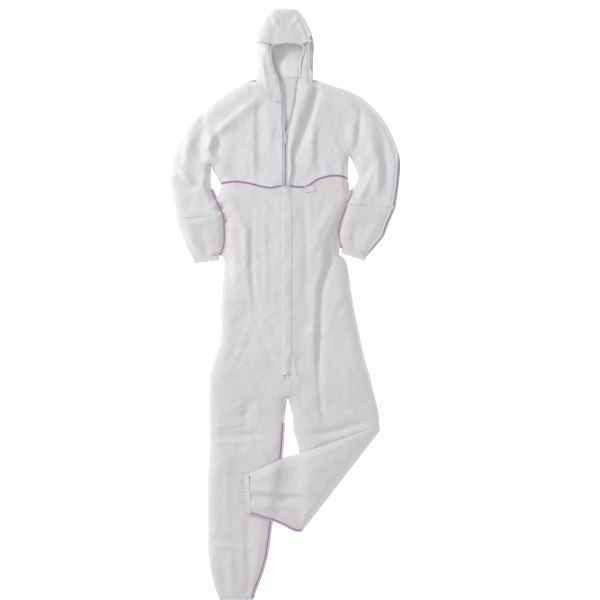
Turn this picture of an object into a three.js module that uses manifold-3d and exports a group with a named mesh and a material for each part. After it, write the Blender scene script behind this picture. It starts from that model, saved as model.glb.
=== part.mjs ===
// Hooded chemical protective coverall, lying flat on its back.
// Millimetres. +Z is up, +Y runs from the ankles to the hood, +X is the wearer's left.
// Each fabric panel is a closed sheet: the back layers lie flat, the front layers stand in an arch
// over them, so the hood, body, sleeves and legs stay hollow and open at the face, cuffs and ankles.

import * as THREE from 'three';
import Module from 'manifold-3d';
import { mergeVertices } from 'three/addons/utils/BufferGeometryUtils.js';

// ---- lengths down the garment ----
const hoodLength = 228;
const yokeLength = 342;
const bodyLength = 611;
const legLength = 731;
// ---- widths ----
const hoodHalf = 93;
const torsoHalf = 205;
const hipHalf = 246;
const legWidth = 250;
const ankleWidth = 112;
const cuffWidth = 84;
const sleeveReach = 372;
// ---- fabric layers ----
const cloth = 2;
const layerGap = 0.3;
const bodyRise = 27.7;
const hoodRise = 30;
const legRise = 19.4;
const sideRamp = 60;
const cuffHeight = 15;
const bandWall = 2;
const bandDepth = 14;
// ---- seams and trim ----
const seamWidth = 5;
const seamThickness = 1.2;
const edgeSeamWidth = 3.5;
const sleeveClearance = 2;
// ---- zip ----
const zipX = 3;
const zipBottom = 35;
const tapeWidth = 14;
const tapeThickness = 0.7;
const coilWidth = 2.3;
const coilHeight = 2.2;
const bridgeWidth = 1;
const runningGap = 0.3;
const sliderWidth = 9;
const sliderLength = 12;
const wingThickness = 1;
const bailRise = 3.2;
const bailWidth = 1.2;
const pullWidth = 7;
const pullLength = 28;
const pullThickness = 1.2;
// ---- storm flap ----
const flapWidth = 36;
const flapThickness = 1.2;

// ---- landmarks worked out from the lengths ----
const topY = (hoodLength + yokeLength + bodyLength + legLength) / 2;
const neckY = topY - hoodLength;
const chestY = neckY - yokeLength;
const crotchY = chestY - bodyLength;
const ankleY = crotchY - legLength;
const crotchX = 11;
const edgeZ = cloth + layerGap;
const bodyTopZ = edgeZ + bodyRise + cloth;
const legTopZ = edgeZ + legRise + cloth;
const far = 1000;

// ---- fabrics and metals ----
function material(color, roughness, metalness = 0) {
  return new THREE.MeshStandardMaterial({ color, roughness, metalness });
}
const film = material(0xdfe2e4, 0.55);
const nonwoven = material(0xdcdadb, 0.8);
const purple = material(0xa878aa, 0.7);
const elastic = material(0xd6d4c8, 0.85);
const tapeCloth = material(0xdde0f0, 0.7);
const nylon = material(0x8d97b5, 0.45);
const pressedMetal = material(0xc3c6cc, 0.35, 0.8);

const suit = new THREE.Group();

function add(name, geometry, surface) {
  const mesh = new THREE.Mesh(geometry, surface);
  mesh.name = name;
  suit.add(mesh);
  return mesh;
}

// ---- sheets ----
// A rung is [ax, ay, bx, by, da, db, rise]: a line across the panel from a to b. da and db say how far
// inside the garment's free edge each end already lies, and rise replaces the panel's own height.
const halfCuts = [0, 0.03, 0.09, 0.18, 0.32, 1];
const tubeCuts = [0, 0.04, 0.12, 0.26, 0.5, 0.74, 0.88, 0.96, 1];
const flatCuts = [0, 1];

function lift(distance, ramp) {
  return Math.sin(Math.PI / 2 * Math.min(1, distance / ramp));
}

function sheet(rungs, look = {}) {
  const { cuts = flatCuts, base = 0, rise = 0, ramp = sideRamp, thickness = cloth } = look;
  const points = [];
  const columns = cuts.length;
  for (const [ax, ay, bx, by, da = 0, db = 0, ownRise = rise] of rungs) {
    const length = Math.hypot(bx - ax, by - ay);
    for (const s of cuts) {
      const inside = Math.min(da + s * length, db + (1 - s) * length);
      const z = base + (rise ? ownRise * lift(inside, ramp) : 0);
      points.push(ax + (bx - ax) * s, ay + (by - ay) * s, z);
    }
  }
  const layer = points.length / 3;
  for (let i = 0; i < layer; i++) {
    points.push(points[3 * i], points[3 * i + 1], points[3 * i + 2] + thickness);
  }
  const faces = [];
  const quad = (a, b, c, d) => faces.push(a, b, c, a, c, d);
  const rows = rungs.length;
  for (let r = 0; r < rows - 1; r++) {
    for (let c = 0; c < columns - 1; c++) {
      const k = r * columns + c;
      quad(layer + k, layer + k + columns, layer + k + columns + 1, layer + k + 1);
      quad(k, k + 1, k + columns + 1, k + columns);
    }
  }
  for (let r = 0; r < rows - 1; r++) {
    const first = r * columns;
    const last = first + columns - 1;
    quad(first, first + columns, layer + first + columns, layer + first);
    quad(last + columns, last, layer + last, layer + last + columns);
  }
  for (let c = 0; c < columns - 1; c++) {
    const end = (rows - 1) * columns + c;
    quad(c + 1, c, layer + c, layer + c + 1);
    quad(end, end + 1, layer + end + 1, layer + end);
  }
  const geometry = new THREE.BufferGeometry();
  geometry.setAttribute('position', new THREE.Float32BufferAttribute(points, 3));
  geometry.setIndex(faces);
  const [ax, ay, bx, by] = rungs[0];
  const [cx, cy] = rungs[rows - 1];
  if ((bx - ax) * (cy - ay) - (by - ay) * (cx - ax) > 0) {
    for (let i = 0; i < faces.length; i += 3) {
      [faces[i + 1], faces[i + 2]] = [faces[i + 2], faces[i + 1]];
    }
    geometry.setIndex(faces);
  }
  geometry.computeVertexNormals();
  return geometry;
}

// A flattened elastic ring between a and b, drawn out by depth on the side that out points to.
function band(ax, ay, bx, by, depth, base, height) {
  const length = Math.hypot(bx - ax, by - ay);
  const halfLength = length / 2;
  const halfHeight = height / 2;
  const outline = new THREE.Shape().absellipse(0, 0, halfLength, halfHeight, 0, Math.PI * 2);
  const mouth = new THREE.Path();
  mouth.absellipse(0, 0, halfLength - bandWall, halfHeight - bandWall, 0, Math.PI * 2);
  outline.holes.push(mouth);
  const geometry = new THREE.ExtrudeGeometry(outline, { depth, bevelEnabled: false, curveSegments: 18 });
  const across = new THREE.Vector3(bx - ax, by - ay, 0).normalize();
  const up = new THREE.Vector3(0, 0, 1);
  const out = new THREE.Vector3().crossVectors(across, up);
  geometry.applyMatrix4(new THREE.Matrix4().makeBasis(across, up, out));
  geometry.translate((ax + bx) / 2, (ay + by) / 2, base + halfHeight);
  return geometry;
}

// ---- zip lines: where the inner edge of each coil runs, from the neck down to the slider ----
const coilHalfGap = bridgeWidth / 2 + runningGap;
const sliderTopY = neckY - 176;
const zipEndY = crotchY + zipBottom;
const zipTopY = neckY - 2;
const rightOpenEdge = [
  [zipX - 14, zipTopY],
  [zipX - 4, neckY - 47],
  [zipX - 2, neckY - 93],
  [zipX - 1, neckY - 148],
  [zipX - coilHalfGap, sliderTopY],
];
const leftOpenEdge = [
  [zipX + 37, zipTopY],
  [zipX + 31, neckY - 30],
  [zipX + 26, neckY - 74],
  [zipX + 16, neckY - 120],
  [zipX + 7, neckY - 157],
  [zipX + coilHalfGap, sliderTopY],
];
const panelStep = 8;

function xOn(edge, y) {
  let k = 0;
  while (k < edge.length - 2 && y < edge[k + 1][1]) k++;
  const [x0, y0] = edge[k];
  const [x1, y1] = edge[k + 1];
  return x0 + (x1 - x0) * Math.min(1, Math.max(0, (y - y0) / (y1 - y0)));
}
const rightPanelX = (y) => (y > sliderTopY ? xOn(rightOpenEdge, y) : zipX - coilHalfGap) - panelStep;
const leftPanelX = (y) => (y > sliderTopY ? xOn(leftOpenEdge, y) : zipX + coilHalfGap) + panelStep;

// ---- hood ----
// Two curved panels joined over the crown. Lying flat, each gives a crown and a cheek above and a
// back below.
const neckGap = 0.3;
const faceTopY = neckY + 108;
const crownSeamX = -15;
const hoodOutline = [
  [hoodHalf - 1, neckY + neckGap],
  [hoodHalf, neckY + 60],
  [hoodHalf + 2, faceTopY],
  [hoodHalf - 5, topY - 82],
  [hoodHalf - 16, topY - 56],
  [hoodHalf - 30, topY - 30],
  [hoodHalf - 44, topY - 12],
  [hoodHalf - 63, topY],
];
const crownRise = [1, 1, 1, 1, 0.95, 0.75, 0.45, 0];
const backSplit = layerGap / 2;

function hoodRungs(side, first) {
  return hoodOutline.slice(first).map(([half, y], k) => [
    side * half, y, crownSeamX + side * backSplit, y, 0, far, hoodRise * crownRise[first + k],
  ]);
}
const crownLook = { cuts: halfCuts, base: edgeZ, rise: hoodRise };
for (const [name, side] of [['right', -1], ['left', 1]]) {
  add(`hood_${name}_back`, sheet(hoodRungs(side, 0)), film);
  add(`hood_${name}_crown`, sheet(hoodRungs(side, 2), crownLook), film);
}
const brimHem = 10;
const crownSeam = hoodOutline.slice(2).map(([, y], k) => {
  const seamY = y + (k ? 0 : brimHem);
  const seamRise = hoodRise * crownRise[k + 2];
  return [crownSeamX - seamWidth / 2, seamY, crownSeamX + seamWidth / 2, seamY, far, far, seamRise];
});
const onCrown = { base: edgeZ + cloth + layerGap, rise: hoodRise, thickness: seamThickness };
add('hood_crown_seam', sheet(crownSeam, onCrown), film);

const cheekTopY = faceTopY - layerGap;
const rightFaceEdge = [
  [-40, cheekTopY],
  [-39, faceTopY - 44],
  [-34, faceTopY - 75],
  [-19, neckY + neckGap],
];
const leftFaceEdge = [
  [66, cheekTopY],
  [60, faceTopY - 30],
  [48, faceTopY - 56],
  [47, neckY + neckGap],
];
const cheekRungs = (edge, side) => edge.map(([x, y]) => [side * (hoodHalf - 1), y, x, y, 0, far]);
const cheekLook = { cuts: halfCuts, base: edgeZ, rise: hoodRise, ramp: 38 };
add('hood_right_cheek', sheet(cheekRungs(rightFaceEdge, -1), cheekLook), film);
add('hood_left_cheek', sheet(cheekRungs(leftFaceEdge, 1), cheekLook), film);

// The elastic is a soft round cord in a hem around the face, from one side of the neck to the other.
const elasticRadius = 1.5;
const elasticZ = edgeZ + hoodRise + cloth + layerGap + elasticRadius;
const elasticInset = 4;
const brimY = faceTopY + 2 * elasticRadius;
const facePath = [
  ...[...rightFaceEdge].reverse().map(([x, y]) => [x - elasticInset, y + 2 * elasticRadius]),
  [crownSeamX - 10, brimY], [crownSeamX + 25, brimY], [crownSeamX + 60, brimY],
  ...leftFaceEdge.map(([x, y]) => [x + elasticInset - 1, y + 2 * elasticRadius]),
].map(([x, y]) => new THREE.Vector3(x, y, elasticZ));
const elasticSection = new THREE.Shape().absarc(0, 0, elasticRadius, 0, Math.PI * 2);
const faceCurve = new THREE.CatmullRomCurve3(facePath, false, 'centripetal');
const alongFace = { steps: 36, curveSegments: 4, extrudePath: faceCurve };
add('face_elastic', new THREE.ExtrudeGeometry(elasticSection, alongFace), elastic);

// ---- chin pieces: the lower front of the hood, which joins the yokes below the neck ----
const chinTopY = neckY - neckGap;
const chinFootY = neckY - 79;
const chinSeam = [
  [hoodHalf - 2, chinTopY, 0],
  [hoodHalf - 8, neckY - 28, 40],
  [hoodHalf - 28, neckY - 56, sideRamp],
  [hoodHalf - 66, chinFootY, sideRamp],
];
const chinRungs = (side, edge) => chinSeam.map(([x, y, inside]) => {
  const seamX = side > 0 ? Math.max(side * x, edge(y) + 8) : side * x;
  return [seamX, y, edge(y), y, inside, far];
});
const rightChin = chinRungs(-1, rightPanelX);
const leftChin = chinRungs(1, leftPanelX);
const chinCuts = [0, 0.08, 0.2, 0.4, 0.7, 1];
const chinLook = { cuts: chinCuts, base: edgeZ, rise: bodyRise, ramp: 28 };
add('chin_right', sheet(rightChin, chinLook), film);
add('chin_left', sheet(leftChin, chinLook), film);

// ---- yokes: the smooth upper fronts, from the shoulders to the chest seam ----
// An armhole runs from the shoulder to the armpit, and the yoke stops just inside it.
const rightArmhole = [[-torsoHalf - 37, neckY - 83], [-torsoHalf - 31, chestY + 4]];
const leftArmhole = [[torsoHalf + 42, neckY - 57], [torsoHalf + 4, neckY - 243]];
const armGap = 3 * layerGap;
const besideArm = (armhole, side, y, inside) => [xOn(armhole, y) - side * armGap, y, inside];
const yokeEnd = chestY + layerGap / 2;
const outerRight = [
  [-hoodHalf - 37, neckY - 9, 0],
  [-torsoHalf + 31, neckY - 33, 0],
  [-torsoHalf - 4, neckY - 58, 0],
  besideArm(rightArmhole, -1, neckY - 83, 0),
  besideArm(rightArmhole, -1, neckY - 130, 40),
  besideArm(rightArmhole, -1, neckY - 190, 60),
  besideArm(rightArmhole, -1, neckY - 268, 60),
  [-torsoHalf - 20, chestY + 40, 20],
  [-torsoHalf + 2, yokeEnd, 0],
];
const outerLeft = [
  [hoodHalf + 24, neckY - 9, 0],
  [torsoHalf - 8, neckY - 33, 0],
  besideArm(leftArmhole, 1, neckY - 57, 0),
  besideArm(leftArmhole, 1, neckY - 83, 20),
  besideArm(leftArmhole, 1, neckY - 130, 50),
  besideArm(leftArmhole, 1, neckY - 190, 60),
  besideArm(leftArmhole, 1, neckY - 243, 10),
  [torsoHalf, chestY + 40, 0],
  [torsoHalf, yokeEnd, 0],
];
// Above the foot of the chin the yoke stops at the chin's seam, and below it at the zip.
function yokeRungs(outer, side, chin, panelEdge) {
  const seam = chin.map(([x, y]) => [x + side * armGap, y]);
  const insides = outer.map(([, y, inside]) => [inside, y]);
  const edges = [...outer, ...seam.slice(1)];
  const heights = [...edges.map(([, y]) => y), chinFootY - layerGap];
  return heights.sort((a, b) => b - a).map((y) => {
    const innerX = y < chinFootY ? panelEdge(y) : xOn(seam, y);
    return [xOn(outer, y), y, innerX, y, xOn(insides, y), far];
  });
}
const rightYoke = yokeRungs(outerRight, -1, rightChin, rightPanelX);
const leftYoke = yokeRungs(outerLeft, 1, leftChin, leftPanelX);
const frontCuts = [0, 0.03, 0.09, 0.18, 0.32, 0.45, 1];
const frontLook = { cuts: frontCuts, base: edgeZ, rise: bodyRise };
add('yoke_right', sheet(rightYoke, frontLook), film);
add('yoke_left', sheet(leftYoke, frontLook), film);

// ---- sleeves ----
// Inner and outer edges of each flat sleeve, from the armhole to the cuff, with the elbows bent outwards.
const beside = (side, dx) => side * (torsoHalf + dx);
const rightUpperSleeve = [
  rightArmhole.flat(),
  [beside(-1, 79), neckY - 120, beside(-1, 29), chestY - 5],
  [beside(-1, 113), neckY - 161, beside(-1, 27), chestY - 14],
  [beside(-1, 154), neckY - 238, beside(-1, 22), chestY - 26],
  [-sleeveReach, chestY + 50, beside(-1, 16), chestY - 40],
  [-sleeveReach + 3, chestY - 18, beside(-1, 3), chestY - 68],
  [-sleeveReach + 21, chestY - 112, beside(-1, -10), chestY - 95],
];
const rightForearm = [
  [-sleeveReach + 22, chestY - 113, beside(-1, -10.5), chestY - 96],
  [-sleeveReach + 38, chestY - 152, beside(-1, -14), chestY - 146],
  [-sleeveReach + 55, chestY - 196, beside(-1, -12), chestY - 196],
  [-sleeveReach + 76, chestY - 236, beside(-1, 2), chestY - 226],
];
const leftUpperSleeve = [
  leftArmhole.flat(),
  [beside(1, 98), neckY - 110, beside(1, 18), neckY - 272],
  [beside(1, 138), neckY - 172, beside(1, 31), chestY + 26],
  [sleeveReach, chestY + 84, beside(1, 22), chestY + 2],
  [sleeveReach - 2, chestY + 14, beside(1, 10), chestY - 19],
  [sleeveReach - 14, chestY - 73, beside(1, -6), chestY - 62],
];
const leftForearm = [
  [sleeveReach - 15, chestY - 74, beside(1, -6.5), chestY - 63],
  [sleeveReach - 37, chestY - 126, beside(1, -28), chestY - 119],
  [sleeveReach - 52, chestY - 164, beside(1, -33), chestY - 148],
  [sleeveReach - 76, chestY - 194, beside(1, -30), chestY - 183],
  [sleeveReach - 106, chestY - 229, beside(1, -22), chestY - 203],
];
const sleeveLook = { cuts: tubeCuts, base: edgeZ, rise: bodyRise };
const cuffRise = cuffHeight - 2 * cloth - layerGap;
function atCuff(rungs) {
  const [ax, ay, bx, by] = rungs[rungs.length - 1];
  return [...rungs.slice(0, -1), [ax, ay, bx, by, 0, 0, cuffRise]];
}
function addSleeve(side, upper, lower) {
  add(`${side}_sleeve_back`, sheet(upper), film);
  add(`${side}_sleeve_front`, sheet(upper, sleeveLook), film);
  add(`${side}_forearm_back`, sheet(lower), nonwoven);
  add(`${side}_forearm_front`, sheet(atCuff(lower), sleeveLook), nonwoven);
}
addSleeve('right', rightUpperSleeve, rightForearm);
addSleeve('left', leftUpperSleeve, leftForearm);

// Each cuff's ring starts just past the sleeve's last rung, on the same line, and faces the hand. Its inner
// end stays at the seam, so a wider ring reaches outwards.
function cuffOn(rungs, width, innerGap, base) {
  const [ax, ay, bx, by] = rungs[rungs.length - 1];
  const a = new THREE.Vector2(ax, ay);
  const b = new THREE.Vector2(bx, by);
  const across = b.clone().sub(a).normalize();
  const middle = b.clone().addScaledVector(across, -innerGap - width / 2);
  const half = across.multiplyScalar(width / 2);
  const before = rungs[rungs.length - 2];
  const beforeMiddle = new THREE.Vector2((before[0] + before[2]) / 2, (before[1] + before[3]) / 2);
  const towards = middle.clone().sub(beforeMiddle);
  const out = new THREE.Vector2(half.y, -half.x).normalize();
  const turned = out.dot(towards) < 0;
  const push = out.multiplyScalar(turned ? -layerGap : layerGap);
  const from = middle.clone().sub(half).add(push);
  const to = middle.clone().add(half).add(push);
  const [start, end] = turned ? [to, from] : [from, to];
  return band(start.x, start.y, end.x, end.y, bandDepth, base, cuffHeight);
}
add('right_cuff_elastic', cuffOn(rightForearm, cuffWidth, 2.8, 0), elastic);
add('left_cuff_elastic', cuffOn(leftForearm, cuffWidth, 1.5, 0), elastic);

// ---- body below the chest seam ----
// Beside a forearm the body's edge follows the sleeve's inner seam, a clearance inside it.
const bodyStart = chestY - layerGap / 2;
const legStart = crotchY - layerGap / 2;
const bodyStop = crotchY + layerGap / 2;
const besideSleeve = edgeSeamWidth + layerGap + sleeveClearance;
const alongSleeve = (rungs, shift) => rungs.map(([, , x, y]) => [x + shift, y]);
const alongRight = alongSleeve([rightUpperSleeve[4], ...rightForearm], besideSleeve);
const alongLeft = alongSleeve([leftUpperSleeve[4], ...leftForearm], -besideSleeve);
const hipTaper = (hipHalf - torsoHalf + 12) / 3;
const waistY = chestY - 326;
const hipYs = [0.6, 0.8, 1].map((share) => waistY + (bodyStop - waistY) * share);
const rightBodyEdge = [
  [-torsoHalf + 2, bodyStart],
  ...alongRight,
  [-torsoHalf + 12, chestY - 256],
  [-torsoHalf + 2, waistY],
  [-hipHalf + 2 * hipTaper, hipYs[0]],
  [-hipHalf + hipTaper, hipYs[1]],
  [-hipHalf + 2, bodyStop],
];
const leftBodyEdge = [
  [torsoHalf, bodyStart],
  ...alongLeft,
  [torsoHalf - 29, chestY - 222],
  [torsoHalf - 8, chestY - 242],
  [torsoHalf + 2, waistY + 45],
  [torsoHalf + 18, waistY - 60],
  [hipHalf + 12, hipYs[1]],
  [hipHalf + 30, bodyStop],
];
const downZip = (edge, panelEdge) => edge.map(([x, y]) => [x, y, panelEdge(y), y, 0, far]);
add('front_right', sheet(downZip(rightBodyEdge, rightPanelX), frontLook), nonwoven);
add('front_left', sheet(downZip(leftBodyEdge, leftPanelX), frontLook), nonwoven);

// The back is one width of fabric above the waist and one below it, gathered by an elastic between.
const closest = 5;
function backRungs(rightEdge, leftEdge) {
  const heights = [...rightEdge, ...leftEdge].map(([, y]) => y).sort((a, b) => b - a);
  const last = heights[heights.length - 1];
  const kept = heights.filter((y, k) => k === 0 || y === last || heights[k - 1] - y > closest);
  return kept.map((y) => [xOn(rightEdge, y), y, xOn(leftEdge, y), y]);
}
const neckCorner = [hoodHalf - 2, chinTopY];
const upperRight = [[-neckCorner[0], neckCorner[1]], ...outerRight.map(([x, y]) => [x, y])];
const upperLeft = [neckCorner, ...outerLeft.map(([x, y]) => [x, y])];
add('back_upper', sheet(backRungs(upperRight, upperLeft)), film);
add('back_lower', sheet(backRungs(rightBodyEdge, leftBodyEdge)), nonwoven);
const waistHalf = 130;
const waistDepth = 12;
const waistEdges = [waistY + waistDepth / 2, waistY - waistDepth / 2];
const waistBand = waistEdges.map((y) => [-waistHalf, y, waistHalf, y]);
add('waist_elastic', sheet(waistBand, { base: cloth + layerGap, thickness: seamThickness }), elastic);

// ---- legs ----
const splitY = crotchY - 78;
const gussetHalf = 13;
const gusset = [
  [crotchX - 1, crotchY - 4, crotchX + 1, crotchY - 4, far, far],
  [crotchX - gussetHalf, crotchY - 30, crotchX + gussetHalf, crotchY - 30, far, far],
  [crotchX - 3, splitY + 2, crotchX + 3, splitY + 2, 2, 2],
];
const legDown = (share) => crotchY - share * legLength;
const legX = crotchX - legWidth;
const beyondGusset = layerGap * 2;
const ankleX = -98;
const ankleHemY = ankleY + bandDepth + layerGap;
const rightLeg = [
  [-hipHalf + 2, legStart, crotchX - 1 - beyondGusset, legStart, 0, far, bodyRise],
  [-hipHalf + 2, crotchY - 30, crotchX - gussetHalf - beyondGusset, crotchY - 30, 0, far],
  [-hipHalf + 2, splitY, crotchX - 3 - beyondGusset, splitY],
  [legX - 4, legDown(0.21), crotchX - 11, legDown(0.21)],
  [legX - 3, legDown(0.32), crotchX - 16, legDown(0.32)],
  [legX - 9, legDown(0.46), crotchX - 29, legDown(0.46)],
  [legX - 9, legDown(0.6), crotchX - 46, legDown(0.6)],
  [legX - 8, legDown(0.74), crotchX - 59, legDown(0.74)],
  [legX - 5, legDown(0.81), crotchX - 68, legDown(0.81)],
  [legX + 4, legDown(0.88), crotchX - 84, legDown(0.88)],
  [legX + 18, legDown(0.95), crotchX - 104, legDown(0.95)],
  [ankleX - ankleWidth, ankleHemY, ankleX, ankleHemY, 0, 0, cuffRise],
];
add('crotch_gusset', sheet(gusset, { cuts: flatCuts, base: edgeZ, rise: legRise }), nonwoven);
const legLook = { cuts: tubeCuts, base: edgeZ, rise: legRise };
add('right_leg_back', sheet(rightLeg), nonwoven);
add('right_leg_front', sheet(rightLeg, legLook), nonwoven);
add('right_ankle_elastic', cuffOn(rightLeg, ankleWidth, 0, 0), elastic);

// The left leg is folded over along a slanting crease, so its shin lies across both legs.
const creaseTop = new THREE.Vector2(hipHalf + 68, crotchY - 177);
const creaseEnd = new THREE.Vector2(crotchX + 45, crotchY - 510);
const creaseWay = creaseEnd.clone().sub(creaseTop).normalize();
const inward = new THREE.Vector2(creaseWay.y, -creaseWay.x);
const creaseInset = 4;
const onCrease = (share) => creaseTop.clone().lerp(creaseEnd, share).addScaledVector(inward, creaseInset);
const thighInner = [[20, 177], [36, 234], [40, 300], [43, 380], [45, 450], [46, 494]];
const thighShares = [0.02, 0.2, 0.4, 0.6, 0.8, 0.96];
const leftThigh = [
  [hipHalf + 30, legStart, crotchX + 1 + beyondGusset, legStart, 0, far, bodyRise],
  [hipHalf + 36, crotchY - 30, crotchX + gussetHalf + beyondGusset, crotchY - 30, 0, far],
  [hipHalf + 48, splitY, crotchX + 3 + beyondGusset, splitY],
  [hipHalf + 59, crotchY - 129, crotchX + 14, crotchY - 129],
  ...thighShares.map((share, k) => {
    const edge = onCrease(share);
    return [edge.x, edge.y, crotchX + thighInner[k][0] - 3, crotchY - thighInner[k][1]];
  }),
];
add('left_thigh_back', sheet(leftThigh), nonwoven);
add('left_thigh_front', sheet(leftThigh, legLook), nonwoven);

const shinBase = legTopZ + layerGap;
const shinTop = [
  [hipHalf + 60, crotchY - 161],
  [hipHalf + 16, crotchY - 175],
  [hipHalf - 34, crotchY - 193],
  [hipHalf - 86, crotchY - 211],
  [hipHalf - 136, crotchY - 228],
  [hipHalf - 184, crotchY - 245],
  [crotchX + 17, crotchY - 255],
  [crotchX - 17, crotchY - 266],
  [crotchX - 71, crotchY - 290],
  [crotchX - 126, crotchY - 314],
];
const shinHem = [
  [crotchX + 25, crotchY - 502],
  [crotchX - 17, crotchY - 481],
  [crotchX - 55, crotchY - 464],
  [crotchX - 118, crotchY - 443],
];
const shinLow = [0.01, 0.2, 0.4, 0.6, 0.8, 0.98].map((share) => onCrease(share).toArray());
const shinEase = 14;
const leftShin = shinTop.map(([x, y], k) => [x, y, ...[...shinLow, ...shinHem][k]]);
leftShin[leftShin.length - 1].push(0, 0, cuffRise);
add('left_shin_front', sheet(leftShin, { base: shinBase }), nonwoven);
add('left_shin_back', sheet(leftShin, { ...legLook, base: shinBase + edgeZ }), nonwoven);
add('left_ankle_elastic', cuffOn(leftShin, ankleWidth + shinEase, 1.6, shinBase), elastic);

// ---- purple seams ----
// Over the chest the seam lies on both panels. Along the sleeves and legs it binds the free edge.
function chestSeam(rung) {
  const [ax, , bx, , da, db] = rung;
  return [seamWidth / 2, -seamWidth / 2].map((up) => [ax, chestY + up, bx, chestY + up, da, db]);
}
const seamLook = { ...frontLook, base: edgeZ + cloth + layerGap, thickness: seamThickness };
const seamInside = 3;
const rightChest = chestSeam([-torsoHalf + 2, 0, zipX - 15, 0, seamInside, far]);
const leftChest = chestSeam([torsoHalf, 0, zipX + 12, 0, seamInside, far]);
add('chest_seam_right', sheet(rightChest, seamLook), purple);
add('chest_seam_left', sheet(leftChest, seamLook), purple);

const edgeHeight = 2 * cloth + layerGap;
function edgeSeam(points, side, base) {
  const near = side * layerGap;
  const wide = side * (layerGap + edgeSeamWidth);
  const rungs = points.map(([x, y]) => [x + near, y, x + wide, y]);
  return sheet(rungs, { base, thickness: edgeHeight });
}
const innerEdge = (rungs) => rungs.map(([, , x, y]) => [x, y]);
const rightSleeveEdge = innerEdge([...rightUpperSleeve.slice(2, 5), ...rightForearm]);
const leftSleeveEdge = innerEdge([leftUpperSleeve[4], ...leftForearm]);
const rightLegEdge = innerEdge(rightLeg.slice(3));
add('right_sleeve_seam', edgeSeam(rightSleeveEdge, 1, 0), purple);
add('left_sleeve_seam', edgeSeam(leftSleeveEdge, -1, 0), purple);
add('right_inseam', edgeSeam(rightLegEdge, 1, 0), purple);
const underHem = layerGap + edgeSeamWidth;
const hemSeam = leftShin.slice(5).map(([, , x, y]) => [x, y - layerGap, x, y - underHem]);
add('left_inseam', sheet(hemSeam, { base: shinBase, thickness: edgeHeight }), purple);

// ---- zip ----
const tapeTop = edgeZ + bodyRise - layerGap;
const tapeBase = tapeTop - tapeThickness;
function tape(openEdge, side) {
  const closedX = zipX + side * coilHalfGap;
  const path = [...openEdge, [closedX, zipEndY]];
  return path.map(([x, y]) => [x, y, x + side * tapeWidth, y]);
}
function coil(openEdge, side) {
  const closedX = zipX + side * coilHalfGap;
  const path = [...openEdge, [closedX, zipEndY + coilEnd]];
  path[0] = [path[0][0], zipTopY - 5];
  return path.map(([x, y]) => [x, y, x + side * coilWidth, y]);
}
const coilBase = tapeTop + layerGap;
const coilEnd = 6;
const stopLength = 3;
const stopWidth = coilWidth + 1;
const topStopHeight = coilHeight + 0.4;
const bottomStopLength = 4;
const bottomStopHeight = coilHeight + 0.6;
for (const [name, side, edge] of [['right', -1, rightOpenEdge], ['left', 1, leftOpenEdge]]) {
  add(`zip_tape_${name}`, sheet(tape(edge, side), { base: tapeBase, thickness: tapeThickness }), tapeCloth);
  add(`zip_coil_${name}`, sheet(coil(edge, side), { base: coilBase, thickness: coilHeight }), nylon);
  const stop = new THREE.BoxGeometry(stopWidth, stopLength, topStopHeight);
  stop.translate(edge[0][0] + side * stopWidth / 2, zipTopY - 2.5, coilBase + topStopHeight / 2);
  add(`zip_top_stop_${name}`, stop, pressedMetal);
}
const bottomStopWidth = 2 * (coilWidth + coilHalfGap) + 1;
const bottomStop = new THREE.BoxGeometry(bottomStopWidth, bottomStopLength, bottomStopHeight);
bottomStop.translate(zipX, zipEndY + coilEnd / 2, coilBase + bottomStopHeight / 2);
add('zip_bottom_stop', bottomStop, pressedMetal);

// The slider has a wing above and below the coils, held apart by a bridge that runs between them.
const wasm = await Module();
wasm.setup();

function solid(geometry) {
  const bare = geometry.clone();
  bare.deleteAttribute('normal');
  bare.deleteAttribute('uv');
  const merged = mergeVertices(bare, 1e-4);
  const vertProperties = new Float32Array(merged.attributes.position.array);
  const triVerts = new Uint32Array(merged.index.array);
  return new wasm.Manifold(new wasm.Mesh({ numProp: 3, vertProperties, triVerts }));
}

function block(width, length, height, x, y, z) {
  return solid(new THREE.BoxGeometry(width, length, height).translate(x, y, z + height / 2));
}

function geometryOf(manifold) {
  const { vertProperties, triVerts } = manifold.getMesh();
  const geometry = new THREE.BufferGeometry();
  geometry.setAttribute('position', new THREE.BufferAttribute(new Float32Array(vertProperties), 3));
  geometry.setIndex(new THREE.BufferAttribute(new Uint32Array(triVerts), 1));
  geometry.computeVertexNormals();
  return geometry;
}

const sliderY = sliderTopY - sliderLength / 2;
const lowerWingZ = tapeBase - runningGap - wingThickness;
const upperWingZ = coilBase + coilHeight + runningGap;
const bailZ = upperWingZ + wingThickness;
const bailHalf = 3.5;
const overlap = 0.1;
const bridgeHeight = upperWingZ - lowerWingZ;
const bridgeY = sliderY + sliderLength / 4;
const postHeight = bailRise - bailWidth + overlap;
const slider = block(sliderWidth, sliderLength, wingThickness, zipX, sliderY, lowerWingZ)
  .add(block(sliderWidth, sliderLength, wingThickness, zipX, sliderY, upperWingZ))
  .add(block(bridgeWidth, sliderLength / 2, bridgeHeight + overlap, zipX, bridgeY, lowerWingZ))
  .add(block(bailWidth, bailWidth, postHeight + overlap, zipX, sliderY + bailHalf, bailZ - overlap))
  .add(block(bailWidth, bailWidth, postHeight + overlap, zipX, sliderY - bailHalf, bailZ - overlap))
  .add(block(bailWidth, 2 * bailHalf + bailWidth, bailWidth, zipX, sliderY, bailZ + bailRise - bailWidth));
add('zip_slider', geometryOf(slider), pressedMetal);

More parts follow.
